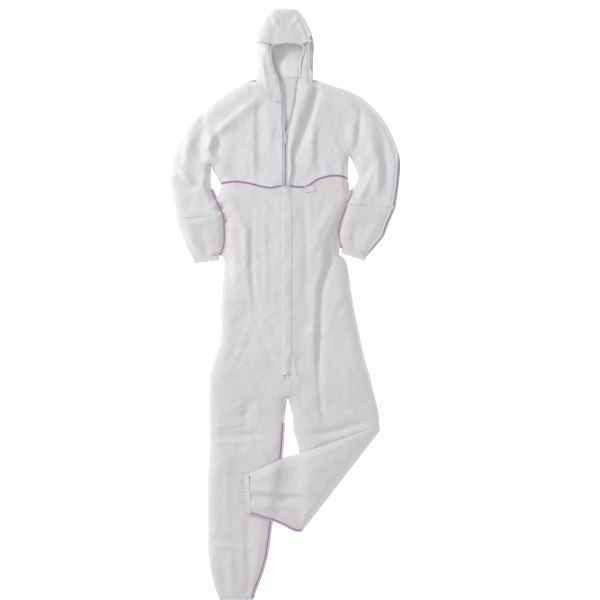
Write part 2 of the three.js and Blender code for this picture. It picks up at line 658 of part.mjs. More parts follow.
// The pull's eye passes under the bail, so it swings about its own cross bar.
const eyeBar = pullThickness / 2;
const eyeLength = 5;
const eyeHalf = 1.5;
const pullShape = new THREE.Shape();
pullShape.moveTo(-pullWidth / 2, eyeBar);
pullShape.lineTo(-pullWidth / 2, -pullLength + 3);
pullShape.lineTo(-pullWidth / 2 + 2, -pullLength);
pullShape.lineTo(pullWidth / 2 - 2, -pullLength);
pullShape.lineTo(pullWidth / 2, -pullLength + 3);
pullShape.lineTo(pullWidth / 2, eyeBar);
const eye = new THREE.Path();
eye.moveTo(-eyeHalf, -eyeBar);
eye.lineTo(eyeHalf, -eyeBar);
eye.lineTo(eyeHalf, -eyeLength);
eye.lineTo(-eyeHalf, -eyeLength);
pullShape.holes.push(eye);
const pull = new THREE.ExtrudeGeometry(pullShape, { depth: pullThickness, bevelEnabled: false });
const pullZ = bailZ + runningGap + 0.1;
pull.translate(zipX, sliderY, pullZ);
add('pull_tab', pull, pressedMetal);

// ---- storm flap ----
// Below the chest it bridges the zip, clear of the slider. Above, it lies folded open on the left yoke.
const sewnX = zipX + 23;
const freeX = sewnX - flapWidth;
const flapTopY = chestY - 6;
const flapFootY = crotchY;
const bailTopZ = bailZ + bailRise;
const archZ = bailTopZ + runningGap * 2;
const onPanelZ = bodyTopZ + layerGap;
const underside = [
  [sewnX, onPanelZ], [sewnX - 6, (onPanelZ + archZ) / 2 + 1], [zipX + 7, archZ],
  [zipX - 7, archZ], [freeX + 3, (onPanelZ + archZ) / 2], [freeX, onPanelZ],
];
const flapSection = new THREE.Shape();
underside.forEach(([x, z], k) => (k ? flapSection.lineTo(x, z) : flapSection.moveTo(x, z)));
[...underside].reverse().forEach(([x, z]) => flapSection.lineTo(x, z + flapThickness));
const flap = new THREE.ExtrudeGeometry(flapSection, { depth: flapTopY - flapFootY, bevelEnabled: false });
flap.rotateX(Math.PI / 2);
flap.translate(0, flapTopY, 0);
add('storm_flap', flap, film);

const openWidths = [[28, 58], [78, 44], [128, 34], [177, 29], [222, 16], [298, 12], [328, 6]];
const openFlap = openWidths.map(([down, width]) => {
  const y = neckY - down;
  const x = leftPanelX(y) + 1;
  return [x, y, x + width, y];
});
add('storm_flap_upper', sheet(openFlap, { base: onPanelZ, thickness: flapThickness }), film);

// ---- blank label sewn under the chest seam ----
const labelX = zipX + 78;
const labelWidth = 36;
const labelLength = 26;
const labelThickness = 0.8;
const labelY = chestY - seamWidth / 2 - 2 - labelLength / 2;
const label = new THREE.BoxGeometry(labelWidth, labelLength, labelThickness);
label.translate(labelX, labelY, bodyTopZ + layerGap + labelThickness / 2);
add('blank_label', label, tapeCloth);

export default suit;
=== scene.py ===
import math

import bpy
import numpy as np
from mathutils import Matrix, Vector
from mathutils.geometry import delaunay_2d_cdt


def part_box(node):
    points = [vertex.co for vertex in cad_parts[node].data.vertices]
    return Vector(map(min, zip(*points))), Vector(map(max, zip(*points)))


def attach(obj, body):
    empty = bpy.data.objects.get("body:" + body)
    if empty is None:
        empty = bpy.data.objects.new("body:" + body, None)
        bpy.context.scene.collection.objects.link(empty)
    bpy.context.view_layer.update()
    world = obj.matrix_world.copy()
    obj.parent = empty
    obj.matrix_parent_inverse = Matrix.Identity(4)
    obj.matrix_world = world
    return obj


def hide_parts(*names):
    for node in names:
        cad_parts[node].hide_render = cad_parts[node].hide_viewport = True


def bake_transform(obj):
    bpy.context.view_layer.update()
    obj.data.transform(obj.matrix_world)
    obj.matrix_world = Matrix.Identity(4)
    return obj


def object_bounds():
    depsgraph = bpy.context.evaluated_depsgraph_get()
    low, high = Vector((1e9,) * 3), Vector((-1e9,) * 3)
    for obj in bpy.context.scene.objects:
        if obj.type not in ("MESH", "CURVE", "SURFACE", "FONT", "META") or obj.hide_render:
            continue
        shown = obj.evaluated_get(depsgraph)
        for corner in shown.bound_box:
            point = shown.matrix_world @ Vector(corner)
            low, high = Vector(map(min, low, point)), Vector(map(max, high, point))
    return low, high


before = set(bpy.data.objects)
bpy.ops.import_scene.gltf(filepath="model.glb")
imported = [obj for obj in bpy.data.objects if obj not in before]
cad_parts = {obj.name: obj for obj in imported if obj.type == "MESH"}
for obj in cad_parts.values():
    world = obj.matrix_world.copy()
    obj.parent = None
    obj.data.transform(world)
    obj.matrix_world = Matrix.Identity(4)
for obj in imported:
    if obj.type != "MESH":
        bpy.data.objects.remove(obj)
cad_box = [list(corner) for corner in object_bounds()]
scene = bpy.context.scene
rng = np.random.default_rng(7)

# ---- camera ----
# A long lens straight above the suit, a little to the wearer's left of its middle.

middle = Vector((0.050, 0.017, 0.0))
camera_data = bpy.data.cameras.new("camera")
camera_data.sensor_width = 36
camera_data.lens = 84.2
camera = bpy.data.objects.new("camera", camera_data)
camera.location = middle + Vector((0, 0, 4.52))
scene.collection.objects.link(camera)
scene.camera = camera

# ---- ground and studio light ----
# White seamless paper that glows a little, so the ground stays paler than the suit, a large soft
# lamp low on the wearer's right that rakes the folds, a fill above, and a pale room.

ground_material = bpy.data.materials.new("seamless_paper")
ground_material.use_nodes = True
paper = ground_material.node_tree.nodes["Principled BSDF"]
paper.inputs["Base Color"].default_value = (0.9, 0.9, 0.9, 1)
paper.inputs["Roughness"].default_value = 0.9
paper.inputs["Emission Color"].default_value = (1, 1, 1, 1)
paper.inputs["Emission Strength"].default_value = 0.85
ground_mesh = bpy.data.meshes.new("ground")
ground_mesh.from_pydata([(-9, -9, 0), (9, -9, 0), (9, 9, 0), (-9, 9, 0)], [], [(0, 1, 2, 3)])
ground = bpy.data.objects.new("ground", ground_mesh)
ground.location.z = -0.0012
ground_mesh.materials.append(ground_material)
scene.collection.objects.link(ground)


def lamp(name, place, aim, size, watts, colour):
    data = bpy.data.lights.new(name, "AREA")
    data.size = size
    data.energy = watts
    data.color = colour
    light = bpy.data.objects.new(name, data)
    light.location = place
    light.rotation_euler = (Vector(aim) - Vector(place)).to_track_quat("-Z", "Y").to_euler()
    scene.collection.objects.link(light)


lamp("key", (-3.0, 1.7, 2.0), (0, 0.1, 0), 0.9, 58, (1.0, 0.997, 0.98))
lamp("fill", (0.4, -0.6, 4.4), (0, 0, 0), 3.0, 30, (0.985, 0.985, 1.0))
world = bpy.data.worlds.new("room")
world.use_nodes = True
world.node_tree.nodes["Background"].inputs["Color"].default_value = (0.98, 0.98, 1.0, 1)
world.node_tree.nodes["Background"].inputs["Strength"].default_value = 0.50
scene.world = world
scene.view_settings.view_transform = "Standard"

# ---- fabric relief ----
# The cloth's height over the whole suit, on a fine grid: loose, air-filled layers that round down to
# the floor at every free edge, with the folds and packing creases of a suit just taken from its bag.

STEP = 0.0025
low_x, low_y = cad_box[0][0] - 0.02, cad_box[0][1] - 0.02
columns = int((cad_box[1][0] + 0.02 - low_x) / STEP) + 1
rows = int((cad_box[1][1] + 0.02 - low_y) / STEP) + 1
grid_x = low_x + np.arange(columns) * STEP
grid_y = low_y + np.arange(rows) * STEP
GX, GY = np.meshgrid(grid_x, grid_y)


def outline_of(node):
    """The edge of a CAD sheet's upper side, in order, as an array of points."""
    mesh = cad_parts[node].data
    key = lambda i: tuple(round(c, 5) for c in mesh.vertices[i].co)
    edges = {}
    for polygon in mesh.polygons:
        if polygon.normal.z < 0.05:
            continue
        corners = [key(i) for i in polygon.vertices]
        for a, b in zip(corners, corners[1:] + corners[:1]):
            if (b, a) in edges:
                del edges[(b, a)]
            else:
                edges[(a, b)] = True
    following = {a: b for a, b in edges}
    point = next(iter(following))
    loop = []
    while point in following:
        loop.append(point)
        point = following.pop(point)
    return np.array(loop)


def rounded(loop, spacing=0.006, corner=38):
    """The outline as a smooth line through its points, except at its real corners."""
    flat = [loop[0]]
    for p in loop[1:]:
        if np.hypot(*(p[:2] - flat[-1][:2])) > 0.0012:
            flat.append(p)
    if np.hypot(*(flat[0][:2] - flat[-1][:2])) < 0.0012:
        flat.pop()
    points = np.array(flat)[:, :2]
    before = points - np.roll(points, 1, 0)
    after = np.roll(points, -1, 0) - points
    turn = np.degrees(np.abs(np.arctan2(
        before[:, 0] * after[:, 1] - before[:, 1] * after[:, 0], (before * after).sum(1))))
    sharp = turn > corner
    count = len(points)
    line = []
    for k in range(count):
        p1, p2 = points[k], points[(k + 1) % count]
        p0 = 2 * p1 - p2 if sharp[k] else points[k - 1]
        p3 = 2 * p2 - p1 if sharp[(k + 1) % count] else points[(k + 2) % count]
        length = np.hypot(*(p2 - p1))
        m1 = (p2 - p0) * length / max(np.hypot(*(p2 - p0)), 1e-9)
        m2 = (p3 - p1) * length / max(np.hypot(*(p3 - p1)), 1e-9)
        for t in np.arange(max(1, round(length / spacing))) / max(1, round(length / spacing)):
            h = t * t * (3 - 2 * t)
            line.append(p1 * (1 - h) + p2 * h + m1 * t * (1 - t) ** 2 - m2 * t * t * (1 - t))
    return np.array(line)


def covered(loop):
    """Which grid cells lie inside an outline."""
    inside = np.zeros((rows, columns), bool)
    for (x0, y0), (x1, y1) in zip(loop, np.roll(loop, -1, 0)):
        if y0 == y1:
            continue
        crossing = (grid_y > min(y0, y1)) & (grid_y <= max(y0, y1))
        at = x0 + (grid_y[crossing] - y0) * (x1 - x0) / (y1 - y0)
        inside[crossing] ^= grid_x[None, :] > at[:, None]
    return inside


def depth_inside(mask):
    """Distance of each covered cell from the nearest free edge, by jump flooding."""
    far = 1e6
    near = np.where(mask[..., None], far, np.dstack([GX, GY]))
    jump = 512
    while jump >= 1:
        for dy in (-jump, 0, jump):
            for dx in (-jump, 0, jump):
                other = np.roll(near, (dy, dx), (0, 1))
                nearer = np.hypot(other[..., 0] - GX, other[..., 1] - GY) < np.hypot(near[..., 0] - GX,
                                                                                     near[..., 1] - GY)
                near = np.where(nearer[..., None], other, near)
        jump //= 2
    return np.where(mask, np.hypot(near[..., 0] - GX, near[..., 1] - GY), 0)


def blurred(field, radius):
    size = max(1, round(radius / STEP))
    for _ in range(3):
        for axis in (0, 1):
            padded = np.pad(field, [(size, size) if a == axis else (0, 0) for a in (0, 1)], mode="edge")
            total = np.cumsum(np.insert(padded, 0, 0, axis), axis)
            span = 2 * size + 1
            n = field.shape[axis]
            field = (np.take(total, np.arange(span, span + n), axis)
                     - np.take(total, np.arange(n), axis)) / span
    return field


def ramp(value, start, end):
    t = np.clip((value - start) / (end - start), 0, 1)
    return t * t * (3 - 2 * t)


def along(points):
    """For each cell, its signed distance from a line of points and how far along the line it is."""
    best = np.full(GX.shape, 9.0)
    side = np.ones(GX.shape)
    place = np.zeros(GX.shape)
    total = sum(math.dist(a, b) for a, b in zip(points, points[1:]))
    done = 0
    for (x0, y0), (x1, y1) in zip(points, points[1:]):
        dx, dy = x1 - x0, y1 - y0
        length = math.hypot(dx, dy)
        t = np.clip(((GX - x0) * dx + (GY - y0) * dy) / length ** 2, 0, 1)
        away = np.hypot(GX - x0 - t * dx, GY - y0 - t * dy)
        nearer = away < best
        best = np.where(nearer, away, best)
        side = np.where(nearer, np.sign((GX - x0) * dy - (GY - y0) * dx), side)
        place = np.where(nearer, (done + t * length) / total, place)
        done += length
    return best * side, place


def fold(points, height, width, lean=0.0):
    """A fold that rises and dies away along a line. Lean makes one side of it steeper."""
    away, place = along(points)
    fade = np.sin(np.pi * np.clip(place * 0.94 + 0.03, 0, 1)) ** 0.6
    skewed = away * (1 + lean * np.sign(away))
    return height * fade * np.exp(-(skewed / width) ** 2)


def step_fold(points, height, width, reach):
    """A tuck: the cloth on one side of the line stands over the other and settles further off."""
    away, place = along(points)
    fade = np.sin(np.pi * np.clip(place * 0.94 + 0.03, 0, 1)) ** 0.6
    return height * fade * np.tanh(away / width) * np.exp(-(away / reach) ** 2)


def ripple(scale, seed):
    """Smooth random height from -1 to 1, for the drift of loose cloth."""
    source = np.random.default_rng(seed)
    coarse = source.standard_normal((int(rows * STEP / scale) + 4, int(columns * STEP / scale) + 4))
    v = (GY - low_y) / scale
    u = (GX - low_x) / scale
    i, j = v.astype(int), u.astype(int)
    fv, fu = v - i, u - j
    fv, fu = fv * fv * (3 - 2 * fv), fu * fu * (3 - 2 * fu)
    top = coarse[i, j] * (1 - fu) + coarse[i, j + 1] * fu
    bottom = coarse[i + 1, j] * (1 - fu) + coarse[i + 1, j + 1] * fu
    return (top * (1 - fv) + bottom * fv) * 0.6


body_nodes = ["yoke_right", "yoke_left", "chin_right", "chin_left", "front_right", "front_left",
              "crotch_gusset", "right_sleeve_front", "left_sleeve_front", "right_forearm_front",
              "left_forearm_front",
              "right_leg_front", "left_thigh_front", "hood_right_crown", "hood_left_crown", "hood_right_cheek",
              "hood_left_cheek"]
outlines = {node: rounded(outline_of(node)) for node in body_nodes}
body_mask = np.zeros((rows, columns), bool)
for node in body_nodes:
    body_mask |= covered(outlines[node])
# The open front, the face opening and the panel joints are not the suit's edge, so they are closed first.
zip_low, zip_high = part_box("zip_tape_right")[0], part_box("zip_tape_left")[1]
cheek_low, cheek_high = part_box("hood_right_cheek")
body_mask |= (GX > zip_low.x) & (GX < zip_high.x) & (GY > zip_low.y - 0.04) & (GY < zip_high.y + 0.01)
body_mask |= ((GX > cheek_low.x + 0.004) & (GX < -cheek_low.x - 0.004) & (GY > zip_high.y - 0.01)
              & (GY < cheek_high.y + 0.01))
body_mask = blurred(body_mask.astype(float), STEP) > 0.5
body_mask |= blurred(body_mask.astype(float), 2 * STEP) > 0.6
for node in ("right_cuff_elastic", "left_cuff_elastic", "right_ankle_elastic"):
    body_mask |= blurred(covered(rounded(outline_of(node), 0.003, 80)).astype(float), 2 * STEP) > 0.4
edge_depth = depth_inside(body_mask)

front_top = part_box("front_right")[1].z
hood_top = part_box("hood_right_crown")[1].z
crotch_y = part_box("crotch_gusset")[1].y
neck_y = zip_high.y + 0.002
LEG_HEIGHT, CUFF_HEIGHT, RAMP = 0.0237, 0.0135, 0.042
plateau = LEG_HEIGHT + (front_top - LEG_HEIGHT) * ramp(GY, crotch_y - 0.11, crotch_y + 0.03)
plateau += (hood_top - front_top) * ramp(GY, neck_y, neck_y + 0.05)


def band_line(node):
    """Middle, direction across and half sizes of a flat elastic ring, measured from its CAD node."""
    points = np.array([v.co[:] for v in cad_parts[node].data.vertices])
    flat = points[:, :2] - points[:, :2].mean(0)
    across = np.linalg.svd(flat, full_matrices=False)[2][0]
    across *= np.sign(across[0])
    out = np.array([across[1], -across[0]])
    u, v = points[:, :2] @ across, points[:, :2] @ out
    centre = across * (u.min() + u.max()) / 2 + out * (v.min() + v.max()) / 2
    return centre, across, out, np.ptp(u) / 2, np.ptp(v) / 2, points[:, 2].min(), points[:, 2].max()


gathers = np.zeros_like(GX)
for node in ("right_cuff_elastic", "left_cuff_elastic", "right_ankle_elastic"):
    centre, across, out, half_across, half_out, _, _ = band_line(node)
    u = (GX - centre[0]) * across[0] + (GY - centre[1]) * across[1]
    v = np.abs((GX - centre[0]) * out[0] + (GY - centre[1]) * out[1]) - half_out
    beside = np.exp(-(np.clip(np.abs(u) - half_across - 0.02, 0, 1) / 0.02) ** 2)
    wander = ripple(0.03, 17) * 0.004
    gathers += beside * np.exp(-np.clip(v, 0, 1) / 0.026) * 0.0022 * np.sin((u + wander) * 2 * np.pi
                                                                            / 0.0125)
    plateau = plateau + (CUFF_HEIGHT - plateau) * (1 - ramp(v, 0.0, 0.13)) * beside
rise = np.clip(edge_depth / RAMP, 0, 1)
relief = plateau * np.sqrt(np.clip(1 - (1 - rise) ** 2, 0, 1))
# On the wearer's left the top layer has slid over, so each edge there stands as a short steep wall.
facing = -np.gradient(blurred(edge_depth, 0.006), STEP, axis=1)
slid = np.clip(facing * 1.6 - 0.5, 0, 1) * ((GX > 0.20) * (1 - ramp(GY, 0.44, 0.52)) * ramp(GY, 0.15, 0.18)
                                            + (GX > 0.06) * ramp(GY, 0.742, 0.765) * (1 - ramp(GY, 0.85, 0.872)))
walled = np.clip(facing * 1.6 - 0.5, 0, 1) * ramp(GY, 0.10, 0.18) * ramp(edge_depth, 0, 0.001)
relief += (plateau * (0.14 + 0.86 * ramp(edge_depth, 0.006, 0.017)) - relief) * walled

loose = ramp(edge_depth, 0.004, 0.03)
near_zip = np.exp(-((GX - 0.003) / 0.016) ** 2) * ramp(GY, crotch_y - 0.02, crotch_y + 0.03)
# Every fold is its height, its half width, how much it leans and the points it runs through, in
# millimetres. A height below nothing is a valley.
FOLDS = [
    # right sleeve: a long fold from the neck that turns down to the armpit, and bunching at the elbow
    (8, 12, 0.35, (-75, 668), (-140, 620), (-195, 575), (-232, 530)),
    (9, 14, -0.3, (-225, 552), (-243, 505), (-235, 468), (-212, 452)),
    (-6, 13, 0, (-222, 560), (-212, 520), (-214, 485)),
    (-6, 16, 0, (-262, 600), (-268, 530), (-262, 455)),
    (6, 13, 0.3, (-305, 545), (-316, 480), (-320, 430)),
    (7, 8, 0.4, (-335, 430), (-318, 408), (-292, 392)),
    (-5, 10, 0, (-345, 400), (-326, 378), (-292, 374), (-262, 392)),
    (6, 12, 0, (-272, 388), (-250, 400), (-236, 422)),
    (5, 13, 0.3, (-316, 240), (-295, 200), (-270, 165)),
    (-3.5, 9, 0, (-262, 215), (-250, 180), (-246, 158)),
    # right chest: packing crease down the yoke, softer drift beside the zip
    (3, 4, 0.5, (-99, 640), (-101, 560), (-99, 470), (-100, 392)),
    (-1.8, 12, 0, (-83, 640), (-84, 500), (-82, 392)),
    (-4, 28, 0, (-150, 520), (-155, 440), (-150, 400)),
    (3.5, 18, 0, (-52, 640), (-45, 560), (-48, 470)),
    # left chest: the cloth stands in a soft ridge beside the open flap, and falls away from the shoulder
    (-8, 12, -0.4, (108, 700), (92, 640), (60, 540), (36, 480)),
    (6, 18, 0, (130, 672), (112, 600), (90, 530), (78, 440)),
    (-4, 10, 0.4, (120, 640), (103, 560), (102, 470), (110, 410)),
    (5, 14, 0, (150, 660), (200, 640), (240, 610)),
    (-4, 12, 0, (165, 628), (205, 618), (236, 600)),
    (-6, 7, 0.3, (242, 640), (240, 590), (236, 536), (226, 500)),
    (4, 12, 0, (222, 600), (216, 548), (206, 505)),
    (-3, 14, 0, (130, 565), (180, 560), (210, 535)),
    # left sleeve
    (5, 16, 0, (262, 600), (278, 530), (288, 450), (300, 380)),
    (-5, 13, 0, (300, 600), (318, 520), (322, 440), (318, 360)),
    (6, 10, 0.35, (300, 475), (300, 410), (292, 350)),
    (-5, 11, -0.3, (275, 455), (258, 420), (240, 385), (222, 350)),
    (4, 9, 0, (292, 440), (268, 400), (245, 352), (232, 318)),
    (5, 14, 0.3, (300, 268), (268, 220), (245, 178)),
    (-4, 10, 0, (232, 262), (222, 220), (222, 185)),
    # body below the chest: two long folds either side of the zip down to the thighs
    (-7, 9, 0.35, (206, 380), (217, 372), (188, 298), (142, 210), (139, 160)),
    (-7.5, 9, 0.35, (139, 190), (143, 137), (118, 63), (112, -50), (108, -130), (109, -256)),
    (4, 13, 0, (122, 200), (120, 120), (98, 50), (92, -60), (88, -180)),
    (-4, 8, 0.3, (108, -240), (116, -310), (126, -384)),
    (-4.5, 8, -0.35, (-99, 300), (-106, 166), (-99, 56), (-82, -60)),
    (3, 12, 0, (-116, 280), (-122, 166), (-115, 56), (-98, -50)),
    (-4.5, 8, 0, (-84, -55), (-60, -136), (-37, -190), (0, -228)),
    (2.6, 7, 0, (-60, 360), (-64, 240), (-58, 120), (-62, 10)),
    (-3, 9, 0, (62, 360), (66, 260), (72, 150), (66, 20)),
    (3, 12, 0, (165, 350), (150, 300), (110, 240), (92, 150)),
    (3.2, 10, 0.3, (-180, 330), (-150, 296), (-128, 230), (-124, 140)),
    # right leg: packing creases across, and a long soft fold down the shin
    (-3.2, 6, 0.4, (-243, -425), (-170, -428), (-110, -418), (-60, -412)),
    (2.2, 7, 0, (-243, -438), (-150, -440), (-60, -430), (-12, -432)),
    (-2.2, 4, 0, (-150, -432), (-90, -438), (-20, -438)),
    (-3.4, 6, 0.4, (-244, -756), (-190, -756), (-150, -764), (-124, -772)),
    (2.2, 9, 0, (-244, -772), (-180, -772), (-130, -784)),
    (-4, 10, 0.3, (-118, -690), (-120, -780), (-116, -870), (-122, -930)),
    (4, 9, 0, (-85, -770), (-90, -830), (-104, -890)),
    (3.5, 11, 0, (-175, -790), (-172, -850), (-166, -925)),
    (-3, 9, 0, (-205, -820), (-196, -880), (-188, -925)),
    (2.2, 14, 0, (-180, -470), (-186, -580), (-182, -700)),
    (-3, 12, 0, (-120, -300), (-128, -370), (-122, -412)),
    (2, 12, 0, (30, -330), (75, -360), (130, -372)),
    (-4.5, 10, 0.4, (70, -425), (160, -408), (240, -380), (302, -366)),
    # hood: crossing creases over the crown, a shaded dip above the brim, soft folds down the cheeks
    (4, 6, 0.3, (-45, 935), (-30, 905), (-12, 880), (8, 862)),
    (3.5, 7, -0.3, (55, 932), (30, 905), (12, 882), (-4, 868)),
    (-3, 7, 0, (34, 930), (14, 900), (-4, 876)),
    (3, 6, 0, (52, 892), (62, 872), (78, 868)),
    (3, 6, 0, (88, 880), (70, 858), (60, 846)),
    (-4.5, 6, 0.4, (-84, 852), (-60, 846), (-36, 846), (0, 850)),
    (-3.5, 7, 0, (20, 850), (55, 850), (80, 858)),
    (3, 5, 0, (-82, 842), (-60, 832), (-44, 826)),
    (2.8, 5, 0.3, (-72, 820), (-58, 815), (-46, 822)),
    (3.5, 8, 0.3, (-78, 800), (-72, 765), (-62, 728), (-56, 700)),
    (-3, 7, 0, (-60, 795), (-56, 760), (-50, 730)),
    (3, 9, 0, (78, 830), (82, 790), (78, 750), (70, 715)),
    (3.4, 5, 0.5, (-84, 690), (-68, 674), (-45, 660), (-24, 648)),
    (-3.4, 9, 0, (-46, 716), (-36, 690), (-30, 670)),
    (3, 8, 0, (86, 716), (78, 690), (60, 660)),
    # sharp packing creases down the fronts, across both knees and at the crotch
    (3, 3.2, 0.35, (-99, 60), (-96, 6), (-82, -58), (-60, -150), (-25, -221), (6, -240)),
    (-4, 3.5, 0.35, (21, -157), (19, -200), (21, -240)),
    (3.4, 4.5, 0.35, (24.5, -150), (32, -207), (46, -250)),
    (2.2, 3.5, 0.35, (-195, 56), (-188, 20), (-184, -10)),
    (2.2, 5, 0.35, (-181, -221), (-131, -129), (-110, -58)),
    (2, 4.2, 0.35, (32, -264), (70, -290), (92, -318), (103, -349)),
    (2.8, 4, 0.35, (-232, -394), (-180, -388), (-153, -385), (-121, -370)),
    (-3, 3.5, 0.35, (-234, -417), (-170, -414), (-124, -417), (-67, -427), (-18, -436)),
    (-3.4, 4.5, 0.35, (60, -410), (125, -413), (180, -402), (217, -392), (290, -381)),
    (-2.6, 3.8, 0.35, (108, 10), (108, -100), (110, -200), (112, -320)),
    (2.6, 4.2, 0.35, (-238, -762), (-188, -754), (-138, -765)),
    (-2.8, 4.2, 0.35, (-92, -783), (-99, -847), (-124, -925)),
    (1.6, 5, 0.35, (222, 120), (170, 10), (130, -90)),
]


def all_folds(rows_of_folds):
    total = np.zeros_like(GX)
    for height, width, lean, *line in rows_of_folds:
        total += fold([(x / 1000, y / 1000) for x, y in line], height / 1000, width / 1000, lean)
    return total


folds = all_folds(FOLDS)
# tucks at the elbow seams, and the packing creases straight across the body
folds += step_fold([(-0.330, 0.268), (-0.300, 0.266), (-0.262, 0.276), (-0.212, 0.292)], 0.0022, 0.002,
                   0.014)
folds += step_fold([(0.205, 0.325), (0.260, 0.340), (0.310, 0.330), (0.350, 0.312)], 0.0018, 0.002, 0.012)
for height in (0.196, 0.020, -0.150):
    folds += fold([(-0.190, height + 0.004), (-0.060, height), (0.060, height + 0.003), (0.180, height)],
                  0.0011, 0.0022)
# shallow random creases everywhere, mostly running along the garment
RANDOM_CREASES = 150
for _ in range(RANDOM_CREASES):
    x, y = rng.uniform(-0.36, 0.36), rng.uniform(-0.94, 0.94)
    way = rng.normal(math.pi / 2, 0.75)
    reach = rng.uniform(0.02, 0.055)
    bend = rng.uniform(-0.5, 0.5)
    line = [(x - reach * math.cos(way - bend), y - reach * math.sin(way - bend)), (x, y),
            (x + reach * math.cos(way + bend), y + reach * math.sin(way + bend))]
    column, row = int((x - low_x) / STEP), int((y - low_y) / STEP)
    if body_mask[row, column]:
        folds += fold(line, rng.choice((-1, 1)) * rng.uniform(0.0006, 0.0022), rng.uniform(0.003, 0.007),
                      rng.uniform(-0.4, 0.4))

drift = ripple(0.085, 3) * 0.0032 + ripple(0.040, 5) * 0.0016 + ripple(0.018, 9) * 0.0005
# The two sleeves lie in a soft valley against the body, and a swell carries the flap over the zip.
for valley in ([(-0.190, 0.300), (-0.191, 0.235), (-0.193, 0.190), (-0.200, 0.160)],
               [(0.203, 0.335), (0.180, 0.270), (0.172, 0.230), (0.176, 0.195)]):
    folds -= fold(valley, 0.012, 0.009)
swell = (0.0045 * np.exp(-((GX - 0.006) / 0.034) ** 2) * (1 - ramp(GY, 0.345, 0.385))
         * ramp(GY, crotch_y - 0.02, crotch_y + 0.05))
FOLD_GAIN = 1.45
relief = relief + (folds * FOLD_GAIN + drift) * loose * (1 - near_zip) + gathers * loose + swell
relief = blurred(relief, STEP * 0.8)


def height_at(field, x, y):
    u = np.clip((np.asarray(x) - low_x) / STEP, 0, columns - 1.001)
    v = np.clip((np.asarray(y) - low_y) / STEP, 0, rows - 1.001)
    i, j = v.astype(int), u.astype(int)
    fv, fu = v - i, u - j
    return ((field[i, j] * (1 - fu) + field[i, j + 1] * fu) * (1 - fv)
            + (field[i + 1, j] * (1 - fu) + field[i + 1, j + 1] * fu) * fv)

# ---- the two fabrics ----
# Above the chest seam a smooth film-coated nonwoven that crumples like paper. Below it, and on the
# forearms, a softer bonded nonwoven with a fine embossed grid of bonding points and loose fibres.


def group_named(name, inputs, outputs):
    group = bpy.data.node_groups.new(name, "ShaderNodeTree")
    for label, kind, value in inputs:
        socket = group.interface.new_socket(label, in_out="INPUT", socket_type=kind)
        socket.default_value = value
    for label, kind in outputs:
        group.interface.new_socket(label, in_out="OUTPUT", socket_type=kind)
    tree = group.nodes
    return group, tree.new("NodeGroupInput"), tree.new("NodeGroupOutput")


def linked(tree, pairs):
    for a, b in pairs:
        tree.links.new(a, b)


def math_node(tree, operation, first, second):
    node = tree.nodes.new("ShaderNodeMath")
    node.operation = operation
    for socket, value in zip(node.inputs, (first, second)):
        if isinstance(value, (int, float)):
            socket.default_value = value
        else:
            tree.links.new(value, socket)
    return node.outputs[0]


def noise_node(tree, where, scale, detail, distortion=0.0):
    node = tree.nodes.new("ShaderNodeTexNoise")
    node.inputs["Scale"].default_value = scale
    node.inputs["Detail"].default_value = detail
    node.inputs["Distortion"].default_value = distortion
    tree.links.new(where, node.inputs["Vector"])
    return node.outputs["Fac"]


crumple, crumple_in, crumple_out = group_named(
    "crumpled_cloth", [("Depth", "NodeSocketFloat", 0.001)],
    [("Height", "NodeSocketFloat"), ("Shade", "NodeSocketFloat")])
place = crumple.nodes.new("ShaderNodeTexCoord").outputs["Object"]
warped = crumple.nodes.new("ShaderNodeVectorMath")
warped.operation = "MULTIPLY_ADD"
bend_node = crumple.nodes.new("ShaderNodeTexNoise")
bend_node.inputs["Scale"].default_value = 7
crumple.links.new(place, bend_node.inputs["Vector"])
linked(crumple, [(bend_node.outputs["Color"], warped.inputs[0]), (place, warped.inputs[2])])
warped.inputs[1].default_value = (0.09, 0.09, 0.0)
facets = []
for scale in (17, 41):
    cells = crumple.nodes.new("ShaderNodeTexVoronoi")
    cells.feature = "F1"
    cells.inputs["Scale"].default_value = scale
    crumple.links.new(warped.outputs[0], cells.inputs["Vector"])
    facets.append(cells.outputs["Distance"])
small = math_node(crumple, "MULTIPLY", facets[1], 0.35)
drifting = math_node(crumple, "MULTIPLY", noise_node(crumple, warped.outputs[0], 30, 4), 0.8)
summed = math_node(crumple, "ADD", math_node(crumple, "ADD", facets[0], small), drifting)
linked(crumple, [
    (math_node(crumple, "MULTIPLY", summed, crumple_in.outputs["Depth"]), crumple_out.inputs["Height"]),
    (noise_node(crumple, place, 5, 3), crumple_out.inputs["Shade"])])

fibres, fibres_in, fibres_out = group_named(
    "bonded_fibres", [("Depth", "NodeSocketFloat", 0.0001), ("Points", "NodeSocketFloat", 1.0)],
    [("Height", "NodeSocketFloat"), ("Shade", "NodeSocketFloat")])
place = fibres.nodes.new("ShaderNodeTexCoord").outputs["Object"]
stretch = fibres.nodes.new("ShaderNodeMapping")
stretch.inputs["Scale"].default_value = (1.0, 0.32, 1.0)
fibres.links.new(place, stretch.inputs["Vector"])
hair = noise_node(fibres, stretch.outputs["Vector"], 900, 3, 0.6)
cloudy = noise_node(fibres, place, 120, 3)
dots = fibres.nodes.new("ShaderNodeTexVoronoi")
dots.inputs["Scale"].default_value = 560
dots.inputs["Randomness"].default_value = 0.12
fibres.links.new(place, dots.inputs["Vector"])
pressed = math_node(fibres, "MULTIPLY", math_node(fibres, "LESS_THAN", dots.outputs["Distance"], 0.26),
                    fibres_in.outputs["Points"])
woolly = math_node(fibres, "ADD", hair, math_node(fibres, "MULTIPLY", cloudy, 1.6))
surface = math_node(fibres, "SUBTRACT", woolly, math_node(fibres, "MULTIPLY", pressed, 0.9))
linked(fibres, [
    (math_node(fibres, "MULTIPLY", surface, fibres_in.outputs["Depth"]), fibres_out.inputs["Height"]),
    (math_node(fibres, "MULTIPLY", woolly, 0.4), fibres_out.inputs["Shade"])])


